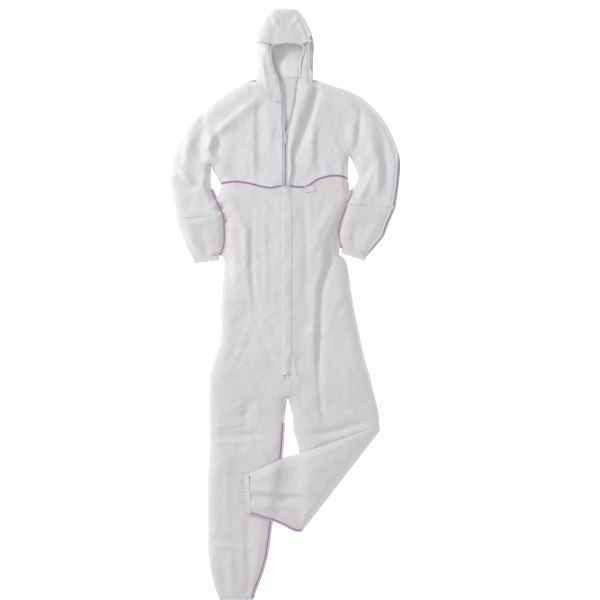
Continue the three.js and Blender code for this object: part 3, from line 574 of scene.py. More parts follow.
def cloth_material(name, pale, deep, roughness, crumple_depth, fibre_depth, points, sheen):
    material = bpy.data.materials.new(name)
    material.use_nodes = True
    tree = material.node_tree
    shader = tree.nodes["Principled BSDF"]
    creased = tree.nodes.new("ShaderNodeGroup")
    creased.node_tree = crumple
    creased.inputs["Depth"].default_value = crumple_depth
    bonded = tree.nodes.new("ShaderNodeGroup")
    bonded.node_tree = fibres
    bonded.inputs["Depth"].default_value = fibre_depth
    bonded.inputs["Points"].default_value = points
    mix = tree.nodes.new("ShaderNodeMix")
    mix.data_type = "RGBA"
    mix.inputs["A"].default_value = (*deep, 1)
    mix.inputs["B"].default_value = (*pale, 1)
    shade = math_node(tree, "ADD", math_node(tree, "MULTIPLY", creased.outputs["Shade"], 0.7),
                      bonded.outputs["Shade"])
    rough = math_node(tree, "ADD", math_node(tree, "MULTIPLY", creased.outputs["Shade"], 0.16),
                      roughness - 0.08)
    bump = tree.nodes.new("ShaderNodeBump")
    bump.inputs["Distance"].default_value = 1.0
    height = math_node(tree, "ADD", creased.outputs["Height"], bonded.outputs["Height"])
    linked(tree, [(shade, mix.inputs["Factor"]), (mix.outputs["Result"], shader.inputs["Base Color"]),
                  (rough, shader.inputs["Roughness"]), (height, bump.inputs["Height"]),
                  (bump.outputs["Normal"], shader.inputs["Normal"])])
    shader.inputs["Sheen Weight"].default_value = sheen
    shader.inputs["Sheen Roughness"].default_value = 0.5
    shader.inputs["Specular IOR Level"].default_value = 0.35
    return material


film = cloth_material("film_cloth", (0.835, 0.84, 0.845), (0.765, 0.775, 0.785), 0.5, 0.0040, 0.00005, 0.25,
                      0.05)
hood_film = cloth_material("hood_film_cloth", (0.80, 0.81, 0.80), (0.72, 0.735, 0.725), 0.5, 0.0052,
                           0.00005, 0.25, 0.05)
nonwoven = cloth_material("bonded_nonwoven", (0.835, 0.815, 0.815), (0.775, 0.755, 0.755), 0.82, 0.0026,
                          0.00010, 1.0, 0.12)

CLOTH = 0.0007


def applied(made, kind, **settings):
    """Puts one modifier on a mesh and bakes it in."""
    modifier = made.modifiers.new(kind.lower(), kind)
    for setting, value in settings.items():
        setattr(modifier, setting, value)
    whole = made.evaluated_get(bpy.context.evaluated_depsgraph_get())
    made.data = bpy.data.meshes.new_from_object(whole)
    made.modifiers.clear()


def finished(name, points, faces, material, thickness=CLOTH, smooth=True):
    """A mesh object from points and faces, given a thickness below its upper side."""
    mesh = bpy.data.meshes.new(name)
    mesh.from_pydata([tuple(map(float, p)) for p in points], [], faces)
    mesh.validate()
    made = bpy.data.objects.new(name, mesh)
    scene.collection.objects.link(made)
    if thickness:
        applied(made, "SOLIDIFY", thickness=thickness, offset=-1, use_rim=True)
    made.data.name = name
    made.data.materials.clear()
    made.data.materials.append(material)
    made.data.polygons.foreach_set("use_smooth", [smooth] * len(made.data.polygons))
    return made


def filled(loops, spacing):
    """Points and triangles that fill a few outlines evenly, as one piece where they meet."""
    every = np.vstack(loops)
    inset = []
    for k, y in enumerate(np.arange(every[:, 1].min(), every[:, 1].max(), spacing * 0.866)):
        inset += [(x + (k % 2) * spacing / 2, y)
                  for x in np.arange(every[:, 0].min(), every[:, 0].max(), spacing)]
    inset = np.array(inset)
    within = np.zeros(len(inset), bool)
    nearest = np.full(len(inset), 9.0)
    for loop in loops:
        inside = np.zeros(len(inset), bool)
        for (x0, y0), (x1, y1) in zip(loop, np.roll(loop, -1, 0)):
            if y0 != y1:
                crossing = (inset[:, 1] > min(y0, y1)) & (inset[:, 1] <= max(y0, y1))
                inside ^= crossing & (inset[:, 0] > x0 + (inset[:, 1] - y0) * (x1 - x0) / (y1 - y0))
            length = max(math.hypot(x1 - x0, y1 - y0), 1e-9)
            t = np.clip(((inset[:, 0] - x0) * (x1 - x0) + (inset[:, 1] - y0) * (y1 - y0)) / length ** 2, 0,
                        1)
            away = np.hypot(inset[:, 0] - x0 - t * (x1 - x0), inset[:, 1] - y0 - t * (y1 - y0))
            nearest = np.minimum(nearest, away)
        within |= inside
    inset = inset[within & (nearest > spacing * 0.45)]
    rims, start = [], 0
    for loop in loops:
        rims.append(list(range(start, start + len(loop))))
        start += len(loop)
    points, _, faces, _, _, _ = delaunay_2d_cdt([Vector(p) for p in np.vstack([every, inset])], [], rims, 1,
                                                1e-6)
    faces = [tuple(f) for f in faces]
    return np.array([tuple(p) for p in points]), faces


def upwards(points, faces):
    """The faces, all turned to look up."""
    turned = []
    for a, b, c in faces:
        u, v = points[b] - points[a], points[c] - points[a]
        turned.append((a, b, c) if u[0] * v[1] - u[1] * v[0] > 0 else (a, c, b))
    return turned


def even(points, spacing):
    """A smooth line through the points, cut into even steps."""
    points = np.array(points, float)
    dense = []
    for k in range(len(points) - 1):
        p0, p1, p2, p3 = points[max(k - 1, 0)], points[k], points[k
                                                                  + 1], points[min(k + 2, len(points) - 1)]
        for t in np.arange(24) / 24:
            dense.append(0.5 * (2 * p1 + (p2 - p0) * t + (2 * p0 - 5 * p1 + 4 * p2 - p3) * t * t
                                + (3 * p1 - p0 - 3 * p2 + p3) * t ** 3))
    dense.append(points[-1])
    dense = np.array(dense)
    length = np.insert(np.cumsum(np.linalg.norm(np.diff(dense, axis=0), axis=1)), 0, 0)
    at = np.linspace(0, length[-1], max(3, round(length[-1] / spacing) + 1))
    return np.column_stack([np.interp(at, length, dense[:, k]) for k in range(dense.shape[1])])


wander_line = even([(-0.222, 0.000), (-0.205, 0.004), (-0.157, 0.010), (-0.113, 0.004), (-0.076, -0.005),
                    (-0.044, -0.010),
                    (-0.011, -0.004), (0.020, -0.005), (0.056, -0.008), (0.078, -0.002), (0.112, 0.019), (0.158, 0.029),
                    (0.200, 0.022), (0.222, 0.000)], 0.003)


def chest_wave(x, y):
    """How far the chest seam wanders from a straight line, and the cloth with it."""
    wander = np.interp(x, wander_line[:, 0], wander_line[:, 1], left=0, right=0)
    return wander * np.exp(-((y - 0.386) / 0.050) ** 2)


def outward_of(loop):
    """The direction out of an outline at each of its points."""
    way = np.roll(loop, -1, 0) - np.roll(loop, 1, 0)
    way /= np.maximum(np.linalg.norm(way, axis=1), 1e-9)[:, None]
    area = np.sum(loop[:, 0] * np.roll(loop[:, 1], -1) - np.roll(loop[:, 0], -1) * loop[:, 1])
    return np.column_stack([way[:, 1], -way[:, 0]]) * math.copysign(1, area)


PANEL_LAP, SLEEVE_LAP = 0.0008, 0.0055


def lapped(loop):
    """The outline with a narrow lap wherever it meets another panel, wider beside the sleeves."""
    x, y = loop.T
    inner = ramp(height_at(edge_depth, x, y), 0.003, 0.006)
    beside_sleeve = (np.abs(x) < 0.21) & (np.abs(x) > 0.16) & (y > 0.15) & (y < 0.36)
    return loop + outward_of(loop) * (inner * np.where(beside_sleeve, SLEEVE_LAP, PANEL_LAP))[:, None]


SLID_BACK = 0.0118


def slid_over(loop):
    """The outline drawn in where the top layer has slid over and shows the layer behind it."""
    outward = outward_of(loop)
    probe = loop - outward * 0.010
    at_edge = 1 - ramp(height_at(edge_depth, *loop.T), 0.002, 0.005)
    share = height_at(slid, *probe.T) * at_edge
    return loop - outward * (share * SLID_BACK)[:, None]


def panel(nodes, name, material, body, height, spacing=0.005, warp=False, slide=False):
    loops = [lapped(outlines[node]) for node in nodes]
    if slide:
        loops = [slid_over(loop) for loop in loops]
    points, faces = filled(loops, spacing)
    faces = upwards(points, faces)
    if warp:
        points[:, 1] += chest_wave(points[:, 0], points[:, 1])
    z = height(points[:, 0], points[:, 1])
    made = finished(name, np.column_stack([points, z]), faces, material)
    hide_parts(*nodes)
    if body:
        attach(made, body)
    return made


def on_top(x, y):
    return np.maximum(height_at(relief, x, y), 0.0024)

# ---- upper fronts and sleeves ----
# Yokes and upper sleeves, all cut from the film-coated cloth and joined at the armholes.

for side in ("right", "left"):
    panel(["yoke_" + side, side + "_sleeve_front"], side + "_yoke_and_sleeve_cloth", film, "suit",
          on_top, warp=True, slide=True)

# ---- lower fronts, forearms and legs ----
# The softer nonwoven. Each side is cut in one piece from the chest seam to the ankle or the crease.

for nodes, name in ((("front_right", "right_leg_front", "crotch_gusset"), "right_front_and_leg"),
                    (("front_left", "left_thigh_front"), "left_front_and_thigh")):
    panel(nodes, name + "_cloth", nonwoven, "suit", on_top, warp=True)
for node in ("right_forearm_front", "left_forearm_front"):
    panel([node], node + "_cloth", nonwoven, "suit", lambda x, y: on_top(x, y) + 0.0004,
          slide=True)

# ---- back layers ----
# The same two fabrics lie flat on the ground behind. Inside the open neck the back billows up.


def underneath(x, y):
    swell = np.exp(-((x - 0.018) / 0.055) ** 4) * ramp(y, 0.48,
                                                       0.60) * (1 - ramp(y, neck_y + 0.030, neck_y + 0.095))
    crease = height_at(ripple(0.02, 31) * 0.0012 + ripple(0.05, 33) * 0.002, x, y)
    raised = 0.0012 + swell * (0.0235 + crease)
    return np.clip(np.minimum(raised, height_at(relief, x, y) - 0.004), 0.0011, None)


# Painted shade: a darker lavender-grey copy of the cloth for the strip of back layer lying in the shade of the front
# layer's edge.
shaded_edge = cloth_material("back_layer_painted_shade_edge", (0.72, 0.685, 0.75), (0.66, 0.63, 0.69), 0.7, 0.0020,
                             0.00008, 0.6, 0.1)


def painted_shade_on_edge(made):
    """Paints shade, as a darker lavender-grey cloth, on the upper side of a back layer where the front has slid off it.
    """
    shown = [face for face in made.data.polygons if face.normal.z > 0.3
             and height_at(slid, face.center.x, face.center.y) > 0.15
             and height_at(edge_depth, face.center.x, face.center.y) < 0.015]
    if shown:
        made.data.materials.append(shaded_edge)
        for face in shown:
            face.material_index = 1


for node, material, record_slot in (
        ("back_upper", film, "upper_fabric"), ("back_lower", nonwoven, "lower_fabric"),
        ("right_sleeve_back", film, "upper_fabric"), ("left_sleeve_back", film, "upper_fabric"),
        ("right_forearm_back", nonwoven, "lower_fabric"), ("left_forearm_back", nonwoven, "lower_fabric"),
        ("right_leg_back", nonwoven, "lower_fabric"), ("left_thigh_back", nonwoven, "lower_fabric")):
    front = node.replace("back", "front")
    outlines[node] = outlines[front] if front in outlines else rounded(outline_of(node))
    painted_shade_on_edge(panel([node], node + "_cloth", material, "suit", underneath, 0.006))
for node in ("hood_right_back", "hood_left_back"):
    outlines[node] = rounded(outline_of(node))
# Painted light: the hood's back layer is a paler copy of the hood film, so it stays bright in the shade inside the
# hood.
hood_back_painted_light = cloth_material("hood_back_painted_light_cloth", (0.90, 0.905, 0.90), (0.85, 0.86, 0.855), 0.6, 0.0030,
                             0.00005, 0.25, 0.05)
made = panel(["hood_right_back", "hood_left_back"], "hood_back_cloth", hood_back_painted_light, None,
             lambda x, y: underneath(x, y) + 0.0004, 0.006)
painted_shade_on_edge(made)
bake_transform(made)

# ---- hood front ----
# Two crown panels joined down the middle and a cheek on each side, in a slightly darker, greener tone of the film
# cloth. The brim stands up over the face opening and the cheeks sag in towards it.


def brim_wave(x):
    return np.interp(x, (-0.095, -0.088, -0.050, -0.036, 0.000, 0.030, 0.056, 0.070, 0.095),
                     (0.010, 0.009, 0.001, -0.004, 0.002, 0.003, -0.003, 0.003, 0.018))


brim_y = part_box("hood_right_crown")[0].y


def brim(x, y):
    """How strongly the rolled brim acts at a point."""
    return np.exp(-((y - brim_y - brim_wave(x)) / 0.010) ** 2)


for side, edge_xs in (("right", (-0.005, -0.019, -0.034, -0.039, -0.040)),
                      ("left", (0.044, 0.047, 0.048, 0.060, 0.066))):
    crown, cheek, chin = "hood_" + side + "_crown", "hood_" + side + "_cheek", "chin_" + side
    for nodes, name, record_body in (((crown,), crown, "hood"), ((cheek, chin), cheek, None)):
        loops = [slid_over(lapped(outlines[node])) for node in nodes]
        points, faces = filled(loops, 0.004)
        faces = upwards(points, faces)
        points[:, 1] += brim_wave(points[:, 0]) * np.exp(-((points[:, 1] - brim_y) / 0.030) ** 2)
        z = on_top(points[:, 0], points[:, 1]) + 0.0010
        if record_body:
            z += 0.0040 * brim(points[:, 0], points[:, 1]) + 0.0006
        else:
            inner_edge = np.interp(points[:, 1], (0.70, 0.728, 0.761, 0.792, 0.836), edge_xs)
            z -= 0.0034 * np.exp(-(np.abs(points[:, 0] - inner_edge) / 0.008) ** 2) * ramp(points[:, 1],
                                                                                           0.725, 0.745)
        made = finished(name + "_cloth", np.column_stack([points, z]), faces, hood_film)
        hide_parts(*nodes)
        if record_body:
            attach(made, "hood")
        else:
            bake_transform(made)

# ---- folded left shin ----
# The left leg is folded over along a slanting crease, so its shin is a closed pillow of cloth lying across
# both legs. It sags into the hollow between them and is pressed thin along the crease.

outlines["left_shin_back"] = rounded(outline_of("left_shin_back"))
outlines["left_shin_front"] = outlines["left_shin_back"]
shin_low = blurred(relief, 0.012)
shin_low = np.maximum(blurred(np.maximum(shin_low, relief), 0.006), relief) + 0.0022
shin_mask = covered(outlines["left_shin_back"]) | (
    blurred(covered(rounded(outline_of("left_ankle_elastic"), 0.003, 80)).astype(float), 2 * STEP) > 0.4)
shin_depth = depth_inside(shin_mask)
crease_start, crease_end = np.array((0.314, -0.402)), np.array((0.056, -0.735))
crease_way = (crease_end - crease_start) / np.hypot(*(crease_end - crease_start))
from_crease = np.abs((GX - crease_start[0]) * crease_way[1] - (GY - crease_start[1]) * crease_way[0])
centre, across, out, half_across, half_out, _, _ = band_line("left_ankle_elastic")
shin_u = (GX - centre[0]) * across[0] + (GY - centre[1]) * across[1]
shin_v = np.abs((GX - centre[0]) * out[0] + (GY - centre[1]) * out[1]) - half_out
shin_height = 0.0175 * ramp(from_crease, -0.01, 0.10) + 0.002
shin_height = shin_height + (0.011 - shin_height) * (1 - ramp(shin_v, 0.0, 0.11))
shin_folds = all_folds([
    (4.2, 6, 0.4, (-122, -600), (-87, -588), (-28, -600), (58, -607)),
    (-4.5, 10, 0, (-118, -615), (-60, -612), (0, -618), (55, -618)),
    (3, 6, 0.3, (-125, -638), (-60, -646), (10, -648), (60, -650)),
    (3.6, 8, 0.4, (58, -690), (75, -662), (105, -645), (140, -628)),
    (-3, 7, 0, (70, -700), (92, -672), (125, -652)),
    (2.2, 9, 0, (-90, -560), (-50, -535), (0, -520), (40, -512)),
    (2, 12, 0, (40, -548), (110, -515), (190, -480), (250, -450)),
    (1, 3, 0, (0, -534), (-4, -566), (-11, -598)),
])
shin_folds += (ripple(0.06, 41) * 0.0016 + ripple(0.025, 43) * 0.0006)
shin_gathers = np.exp(-np.clip(shin_v, 0, 1) / 0.02) * 0.0011 * np.sin((shin_u + ripple(0.03, 19) * 0.004)
                                                                       * 2 * np.pi / 0.0105)
shin_round = np.sqrt(np.clip(1 - (1 - np.clip(shin_depth / 0.030, 0, 1)) ** 2, 0, 1))
shin_relief = shin_low + (shin_height + (shin_folds * 1.5 + shin_gathers)
                          * ramp(shin_depth, 0.003, 0.03)) * shin_round + 0.0008
shin_relief = np.minimum(blurred(shin_relief, STEP * 0.8), 0.0485)
into_shin = np.array((-crease_way[1], crease_way[0]))
into_shin *= np.sign(np.dot(np.array((0.05, -0.55)) - crease_start, into_shin))


def shin_layer(node, field):
    made = panel([node], node + "_cloth", nonwoven, None, lambda x,
                 y: height_at(field, x, y), 0.005)
    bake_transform(made)
    return made


shin_layer("left_shin_front", shin_low)
shin_layer("left_shin_back", shin_relief)

# ---- seams ----
# Panels are joined with a purple three-thread overlock. Each seam is a raised rope of loops over an allowance
# that shows as a narrow strip at the garment's edge; the strip's pale lavender tone is painted shade of the side wall
# there.


def plain_material(name, colour, roughness, fibre_depth, sheen=0.0, metallic=0.0, tint=0.12):
    material = bpy.data.materials.new(name)
    material.use_nodes = True
    tree = material.node_tree
    shader = tree.nodes["Principled BSDF"]
    spun = tree.nodes.new("ShaderNodeGroup")
    spun.node_tree = fibres
    spun.inputs["Depth"].default_value = fibre_depth
    spun.inputs["Points"].default_value = 0.0
    mix = tree.nodes.new("ShaderNodeMix")
    mix.data_type = "RGBA"
    mix.inputs["A"].default_value = (*(c * (1 - tint) for c in colour), 1)
    mix.inputs["B"].default_value = (*(min(1, c * (1 + tint)) for c in colour), 1)
    bump = tree.nodes.new("ShaderNodeBump")
    bump.inputs["Distance"].default_value = 1.0
    rough = math_node(tree, "ADD", math_node(tree, "MULTIPLY", spun.outputs["Shade"], 0.2), roughness - 0.1)
    linked(tree, [(spun.outputs["Shade"], mix.inputs["Factor"]),
                  (mix.outputs["Result"], shader.inputs["Base Color"]),
                  (spun.outputs["Height"], bump.inputs["Height"]), (bump.outputs["Normal"],
                                                                    shader.inputs["Normal"]),
                  (rough, shader.inputs["Roughness"])])
    shader.inputs["Sheen Weight"].default_value = sheen
    shader.inputs["Metallic"].default_value = metallic
    return material


purple_thread = plain_material("purple_thread", (0.54, 0.32, 0.54), 0.75, 0.00006, 0.1)
# Painted shade: the allowance strip's pale lavender-grey stands in for the shade on the garment's side wall beside the
# seam.
lavender = plain_material("seam_allowance", (0.76, 0.70, 0.775), 0.85, 0.00008, 0.1)


def side_of(line):
    way = np.gradient(line[:, :2], axis=0)
    way /= np.maximum(np.linalg.norm(way, axis=1), 1e-9)[:, None]
    return np.column_stack([-way[:, 1], way[:, 0]])


def woven(rows_of_points):
    """Points and faces of a sheet given as parallel rows of points, its faces looking up."""
    n = len(rows_of_points[0])
    points = np.concatenate(rows_of_points)
    faces = [(k * n + i, (k + 1) * n + i, (k + 1) * n + i + 1, k * n + i + 1)
             for k in range(len(rows_of_points) - 1) for i in range(n - 1)]
    a, b, _, d = faces[0]
    looking_up = np.cross(points[b] - points[a], points[d] - points[a])[2] > 0
    return points, faces if looking_up else [f[::-1] for f in faces]


def strip(line, left, right, height, across=5):
    """Points and faces of a strip along a line, from left to right of it, its height given point by point."""
    side = side_of(line)
    parts = []
    for share in np.linspace(0, 1, across):
        flat = line[:, :2] + side * (left * (1 - share) + right * share)
        parts.append(np.column_stack([flat, height(flat[:, 0], flat[:, 1], share)]))
    return woven(parts)


def tube(line, radius, sides=6, closed=False):
    """Points and faces of a round thread along a line in space."""
    line = np.asarray(line)
    n = len(line)
    way = (np.roll(line, -1, 0) - np.roll(line, 1, 0)) if closed else np.gradient(line, axis=0)
    way /= np.maximum(np.linalg.norm(way, axis=1), 1e-9)[:, None]
    up = np.where(np.abs(way[:, 2:3]) > 0.95, (1.0, 0, 0), (0, 0, 1.0))
    one = np.cross(way, up)
    one /= np.linalg.norm(one, axis=1)[:, None]
    two = np.cross(one, way)
    radius = np.broadcast_to(radius, n)[:, None]
    points = np.concatenate([line + radius * (one * math.cos(a) + two * math.sin(a))
                             for a in np.arange(sides) * 2 * math.pi / sides])
    faces = []
    for k in range(sides):
        for i in range(n if closed else n - 1):
            j = (i + 1) % n
            a, b = k * n, (k + 1) % sides * n
            faces.append((a + i, a + j, b + j, b + i))
    if not closed:
        faces += [tuple(k * n for k in range(sides)),
                  tuple((sides - 1 - k) * n + n - 1 for k in range(sides))]
    return points, faces


def joined(parts):
    points, faces, start = [], [], 0
    for more, these in parts:
        points.append(more)
        faces += [tuple(i + start for i in face) for face in these]
        start += len(more)
    return np.concatenate(points), faces


def overlocked(name, path, node, body, height, width=0.0042, allowance=0.0, blended=None):
    """One seam: the rope of thread loops, and its allowance on the left of the path if it has one."""
    line = even(path, 0.0012)
    side = side_of(line)
    loops = []
    for phase, reach, lift in ((0.0, 0.5, 0.0008), (0.5, 0.5, 0.0010)):
        turn = (np.arange(len(line)) / 2.0 + phase) * np.pi
        sway = np.sin(turn) * width * reach
        flat = line[:, :2] + side * sway[:, None]
        z = height(flat[:, 0], flat[:, 1]) + lift + 0.0003 * np.cos(2 * turn)
        loops.append(tube(np.column_stack([flat, z]), 0.00046, 5))
    for edge in (-0.5, 0.5):
        flat = line[:, :2] + side * width * edge
        beads = 0.00050 + 0.00016 * np.sin(np.arange(len(line)) * np.pi)
        z = height(flat[:, 0], flat[:, 1]) + 0.0007
        loops.append(tube(np.column_stack([flat, z]), beads, 5))
    bed = strip(line[::2], -width * 0.45, width * 0.45, lambda x, y, t: height(x, y) + 0.0007)
    loops.append(bed)
    rope = finished(name + "_thread", *joined(loops), purple_thread, 0)
    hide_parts(node)
    made = [rope]
    if allowance:
        near = math.copysign(width * 0.3, allowance)
        points, faces = strip(line[::3], near, near * 1.6 + allowance,
                              lambda x, y, t: height(x, y) + 0.0004 - 0.0006 * t)
        flange = finished(name + "_allowance", points, faces, lavender, 0)
        made.append(flange)
    for piece in made:
        if blended:
            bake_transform(piece)
        else:
            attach(piece, body)
    return made


def seam_line(node, axis, shift):
    """The line down the middle of a CAD seam, taken along one axis and moved sideways onto the panel."""
    rungs = {}
    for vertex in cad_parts[node].data.vertices:
        rungs.setdefault(round(vertex.co[axis], 4), []).append(vertex.co[1 - axis])
    line = [(at, sum(found) / len(found) + shift) for at, found in sorted(rungs.items(), reverse=axis == 1)]
    return [p if axis == 0 else p[::-1] for p in line]


on_seam = lambda x, y: on_top(x, y) + 0.0004
for side, start, end in (("right", -0.203, -0.012), ("left", 0.016, 0.203)):
    xs = np.linspace(start, end, 24)
    path = [(x, 0.386 + chest_wave(x, 0.386)) for x in xs]
    overlocked("chest_seam_" + side, path, "chest_seam_" + side, "suit", on_seam)
for side, sign in (("right", 1), ("left", -1)):
    node = side + "_sleeve_seam"
    overlocked(node, seam_line(node, 1, -sign * 0.005), node, "suit", on_seam,
               0.0027 if sign > 0 else 0.0022, sign * 0.0068)
overlocked("right_inseam", seam_line("right_inseam", 1, -0.008), "right_inseam", "suit", on_seam, 0.0029,
           0.0072)
overlocked("left_inseam", seam_line("left_inseam", 0, 0.007), "left_inseam", "left_shin",
           lambda x, y: height_at(shin_relief, x, y) + 0.0004, 0.0029, -0.0062)

# ---- elastic hems ----
# Wrist, ankle and face hems are the suit's own cloth turned over narrow elastic, so they stand in close
# gathers. The waist elastic is stitched stretched to the inside of the back.

hem_cloth = cloth_material("elastic_hem_cloth", (0.89, 0.875, 0.86), (0.83, 0.815, 0.80), 0.85, 0.0010,
                           0.00010, 0.6, 0.12)


def gathered_ring(node, body, seed):
    centre, across, out, half_across, half_out, base, top = band_line(node)
    around, deep = 288, 15
    height = (top - base) / 2
    source = np.random.default_rng(seed)
    angle = np.arange(around) * 2 * np.pi / around
    phase = np.cumsum(1 + 0.35 * source.standard_normal(around).clip(-1, 1)) * 2 * np.pi / around
    ruffle = np.sin(phase * 34) + 0.35 * np.sin(phase * 57 + 1)
    points = []
    for k in range(deep):
        v = (k / (deep - 1) * 2 - 1) * (half_out + 0.0015)
        pinch = 0.35 + 0.65 * abs(k / (deep - 1) * 2 - 1) ** 0.8
        depth = 0.00135 * pinch * ruffle
        x = np.cos(angle) * (half_across - 0.0012 - 0.0012 * (1 - pinch) + depth)
        z = np.sign(np.sin(angle)) * np.abs(np.sin(angle)) ** 0.8 * (height - 0.0014 - 0.0012 * (1 - pinch)
                                                                     + depth)
        flat = centre + across * x[:, None] + out * v
        points.append(np.column_stack([flat, base + height + z]))
    points = np.concatenate(points)
    faces = [(k * around + i, k * around + (i + 1) % around, (k + 1) * around + (i + 1) % around,
              (k + 1) * around + i)
             for k in range(deep - 1) for i in range(around)]
    made = finished(node + "_gathers", points, faces, hem_cloth, 0.0009)
    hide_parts(node)
    rows_of_thread = []
    for share in (0.28, 0.72):
        ring = points[round(share * (deep - 1)) * around:][:around]
        middle = ring.mean(0)
        rows_of_thread.append(tube(middle + (ring - middle) * 1.012, 0.00030, 4, True))
    thread = finished(node + "_stitching", *joined(rows_of_thread), hem_cloth, 0)
    for piece in (made, thread):
        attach(piece, body)


gathered_ring("right_cuff_elastic", "suit", 1)
gathered_ring("left_cuff_elastic", "suit", 2)
gathered_ring("right_ankle_elastic", "suit", 3)
gathered_ring("left_ankle_elastic", "left_shin", 4)

face_path = [(-0.021, 0.727), (-0.034, 0.757), (-0.042, 0.790), (-0.043, 0.815), (-0.036, 0.830),
             (-0.012, 0.837),
             (0.018, 0.839), (0.046, 0.836), (0.062, 0.826), (0.062, 0.810), (0.052, 0.782), (0.049, 0.728)]
face_line = even(face_path, 0.0016)
n = len(face_line)
flutes = np.sin(np.arange(n) * 2 * np.pi / 4.6 + 2 * np.sin(np.arange(n) / 9))


def hem_height(x, y):
    return on_top(x, y) + 0.0030 * np.exp(-((y - brim_y - brim_wave(x)) / 0.012) ** 2) * (y > 0.80) + 0.0010


parts = []
side = side_of(face_line)
for k, share in enumerate(np.linspace(0, 1, 7)):
    reach = 0.0030 - 0.0060 * share + flutes * 0.0006 * share
    flat = face_line[:, :2] + side * reach[:, None]
    z = (hem_height(face_line[:, 0], face_line[:, 1]) + 0.0010 * math.sin(math.pi * share) + flutes
         * 0.0006 * (0.3 + share) - 0.0030 * share ** 3)
    parts.append(np.column_stack([flat, z]))
made = finished("face_elastic_hem", *woven(parts), hood_film, 0.0008)
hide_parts("face_elastic")
stitch = tube(np.column_stack([face_line + side * 0.0022,
                               hem_height(face_line[:, 0], face_line[:, 1]) + 0.0008]), 0.0003, 4)
thread = finished("face_elastic_stitching", *stitch, hood_film, 0)
for piece in (made, thread):
    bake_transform(piece)

low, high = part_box("waist_elastic")
xs = np.arange(low.x, high.x, 0.0012)
line = np.column_stack([xs, np.full(len(xs), (low.y + high.y) / 2)])
pleat = (lambda x, y, t: low.z + 0.0009 + 0.0007 * np.sin(x * 2 * np.pi / 0.0055 + 1.2 * t)
         * (0.4 + abs(2 * t - 1)))
points, faces = strip(line, -0.006, 0.006, pleat, 9)
made = finished("waist_elastic_gathers", points, faces, hem_cloth, 0.0006)
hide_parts("waist_elastic")
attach(made, "suit")

# the crown seam of the hood, overlocked inside and showing as a raised, finely rippled ridge
low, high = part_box("hood_crown_seam")
crown_x = (low.x + high.x) / 2
line = even([(crown_x, high.y - 0.001), (crown_x - 0.001, high.y - 0.03), (crown_x + 0.001, high.y - 0.07),
             (crown_x, low.y - 0.008)], 0.0012)
on_crown = lambda x, y: on_top(x, y) + 0.0035 * np.exp(-((y - brim_y - brim_wave(x)) / 0.009) ** 2)
points, faces = strip(line, -0.0026, 0.0026, lambda x, y, t: (
    on_crown(x, y) + 0.0003 + 0.0010 * np.sin(np.pi * t) + 0.00012 * np.sin(y * 2 * np.pi / 0.003)), 7)
made = finished("hood_crown_seam_ridge", points, faces, hood_film, 0.0006)
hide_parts("hood_crown_seam")
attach(made, "hood")

# ---- zip ----
# Nylon coil zip: two woven tapes with herringbone ribs, a coil of nylon wire sewn along each inner edge,
# and stops pressed from lacquered metal. It stands open from the slider to the neck.

tape_cloth = plain_material("zip_tape_weave", (0.89, 0.895, 0.93), 0.7, 0.00004, 0.1, tint=0.05)
nylon = plain_material("zip_nylon", (0.70, 0.735, 0.83), 0.42, 0.00001, tint=0.06)
lacquer = plain_material("white_lacquered_metal", (0.70, 0.72, 0.76), 0.32, 0.00002, metallic=0.25,
                         tint=0.04)
zip_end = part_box("zip_bottom_stop")
slider_low, slider_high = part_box("zip_slider")
zip_x = (slider_low.x + slider_high.x) / 2
tape_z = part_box("zip_tape_right")[1].z
coil_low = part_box("zip_coil_right")[0].z
coil_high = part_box("zip_coil_right")[1].z
edges = {"right": [(-0.011, 0.726), (-0.001, 0.681), (0.001, 0.635), (0.002, 0.580),
                   (zip_x - 0.0008, slider_high.y)],
         "left": [(0.040, 0.726), (0.034, 0.698), (0.029, 0.654), (0.019, 0.608), (0.010, 0.571),
                  (zip_x + 0.0008, slider_high.y)]}
for side, sign in (("right", -1), ("left", 1)):
    open_line = even(edges[side], 0.0014)
    closed_line = np.column_stack([np.full(400, zip_x + sign * 0.0008),
                                   np.linspace(slider_high.y - 0.0014, zip_end[0].y, 400)])
    line = np.vstack([open_line, closed_line])
    outward = side_of(line)
    outward *= np.sign(outward[:, :1] * sign)
    parts = []
    across = 15
    for k in range(across):
        reach = 0.0136 * k / (across - 1)
        flat = line + outward * reach
        weave = 0.00012 * np.sin(np.arange(len(line)) * np.pi / 1.5 + (k % 2)
                                 * np.pi) - 0.0002 * (k % 3 == 0)
        drop = 0.0016 * (k / (across - 1)) ** 2
        parts.append(np.column_stack([flat, tape_z - 0.0001 - drop + weave]))
    made = finished("zip_tape_" + side + "_weave", *woven(parts), tape_cloth, 0.0005)
    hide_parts("zip_tape_" + side)
    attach(made, "suit")
    pitch, per_turn = 0.0021, 8
    coil_line = even(line[(line[:, 1] < 0.721)][::4], pitch / per_turn)
    outward = side_of(coil_line)
    outward *= np.sign(outward[:, :1] * sign)
    turn = np.arange(len(coil_line)) * 2 * np.pi / per_turn + (np.pi if sign > 0 else 0)
    flat = coil_line + outward * (0.00115 + 0.00080 * np.cos(turn))[:, None]
    coil_z = (coil_low + coil_high) / 2 + 0.00080 * np.sin(turn)
    wire = tube(np.column_stack([flat, coil_z]), 0.00030, 5)
    core = tube(np.column_stack([coil_line + outward * 0.00115,
                                 np.full(len(coil_line), coil_low + 0.0007)])[::4], 0.0005, 5)
    made = finished("zip_coil_" + side + "_wire", *joined([wire, core]), nylon, 0)
    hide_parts("zip_coil_" + side)
    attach(made, "suit")


def box_mesh(name, low, high, material):
    corners = [(x, y, z) for x in (low[0], high[0]) for y in (low[1], high[1]) for z in (low[2], high[2])]
    faces = [(0, 1, 3, 2), (4, 6, 7, 5), (0, 4, 5, 1), (2, 3, 7, 6), (0, 2, 6, 4), (1, 5, 7, 3)]
    return finished(name, corners, faces, material, 0, False)


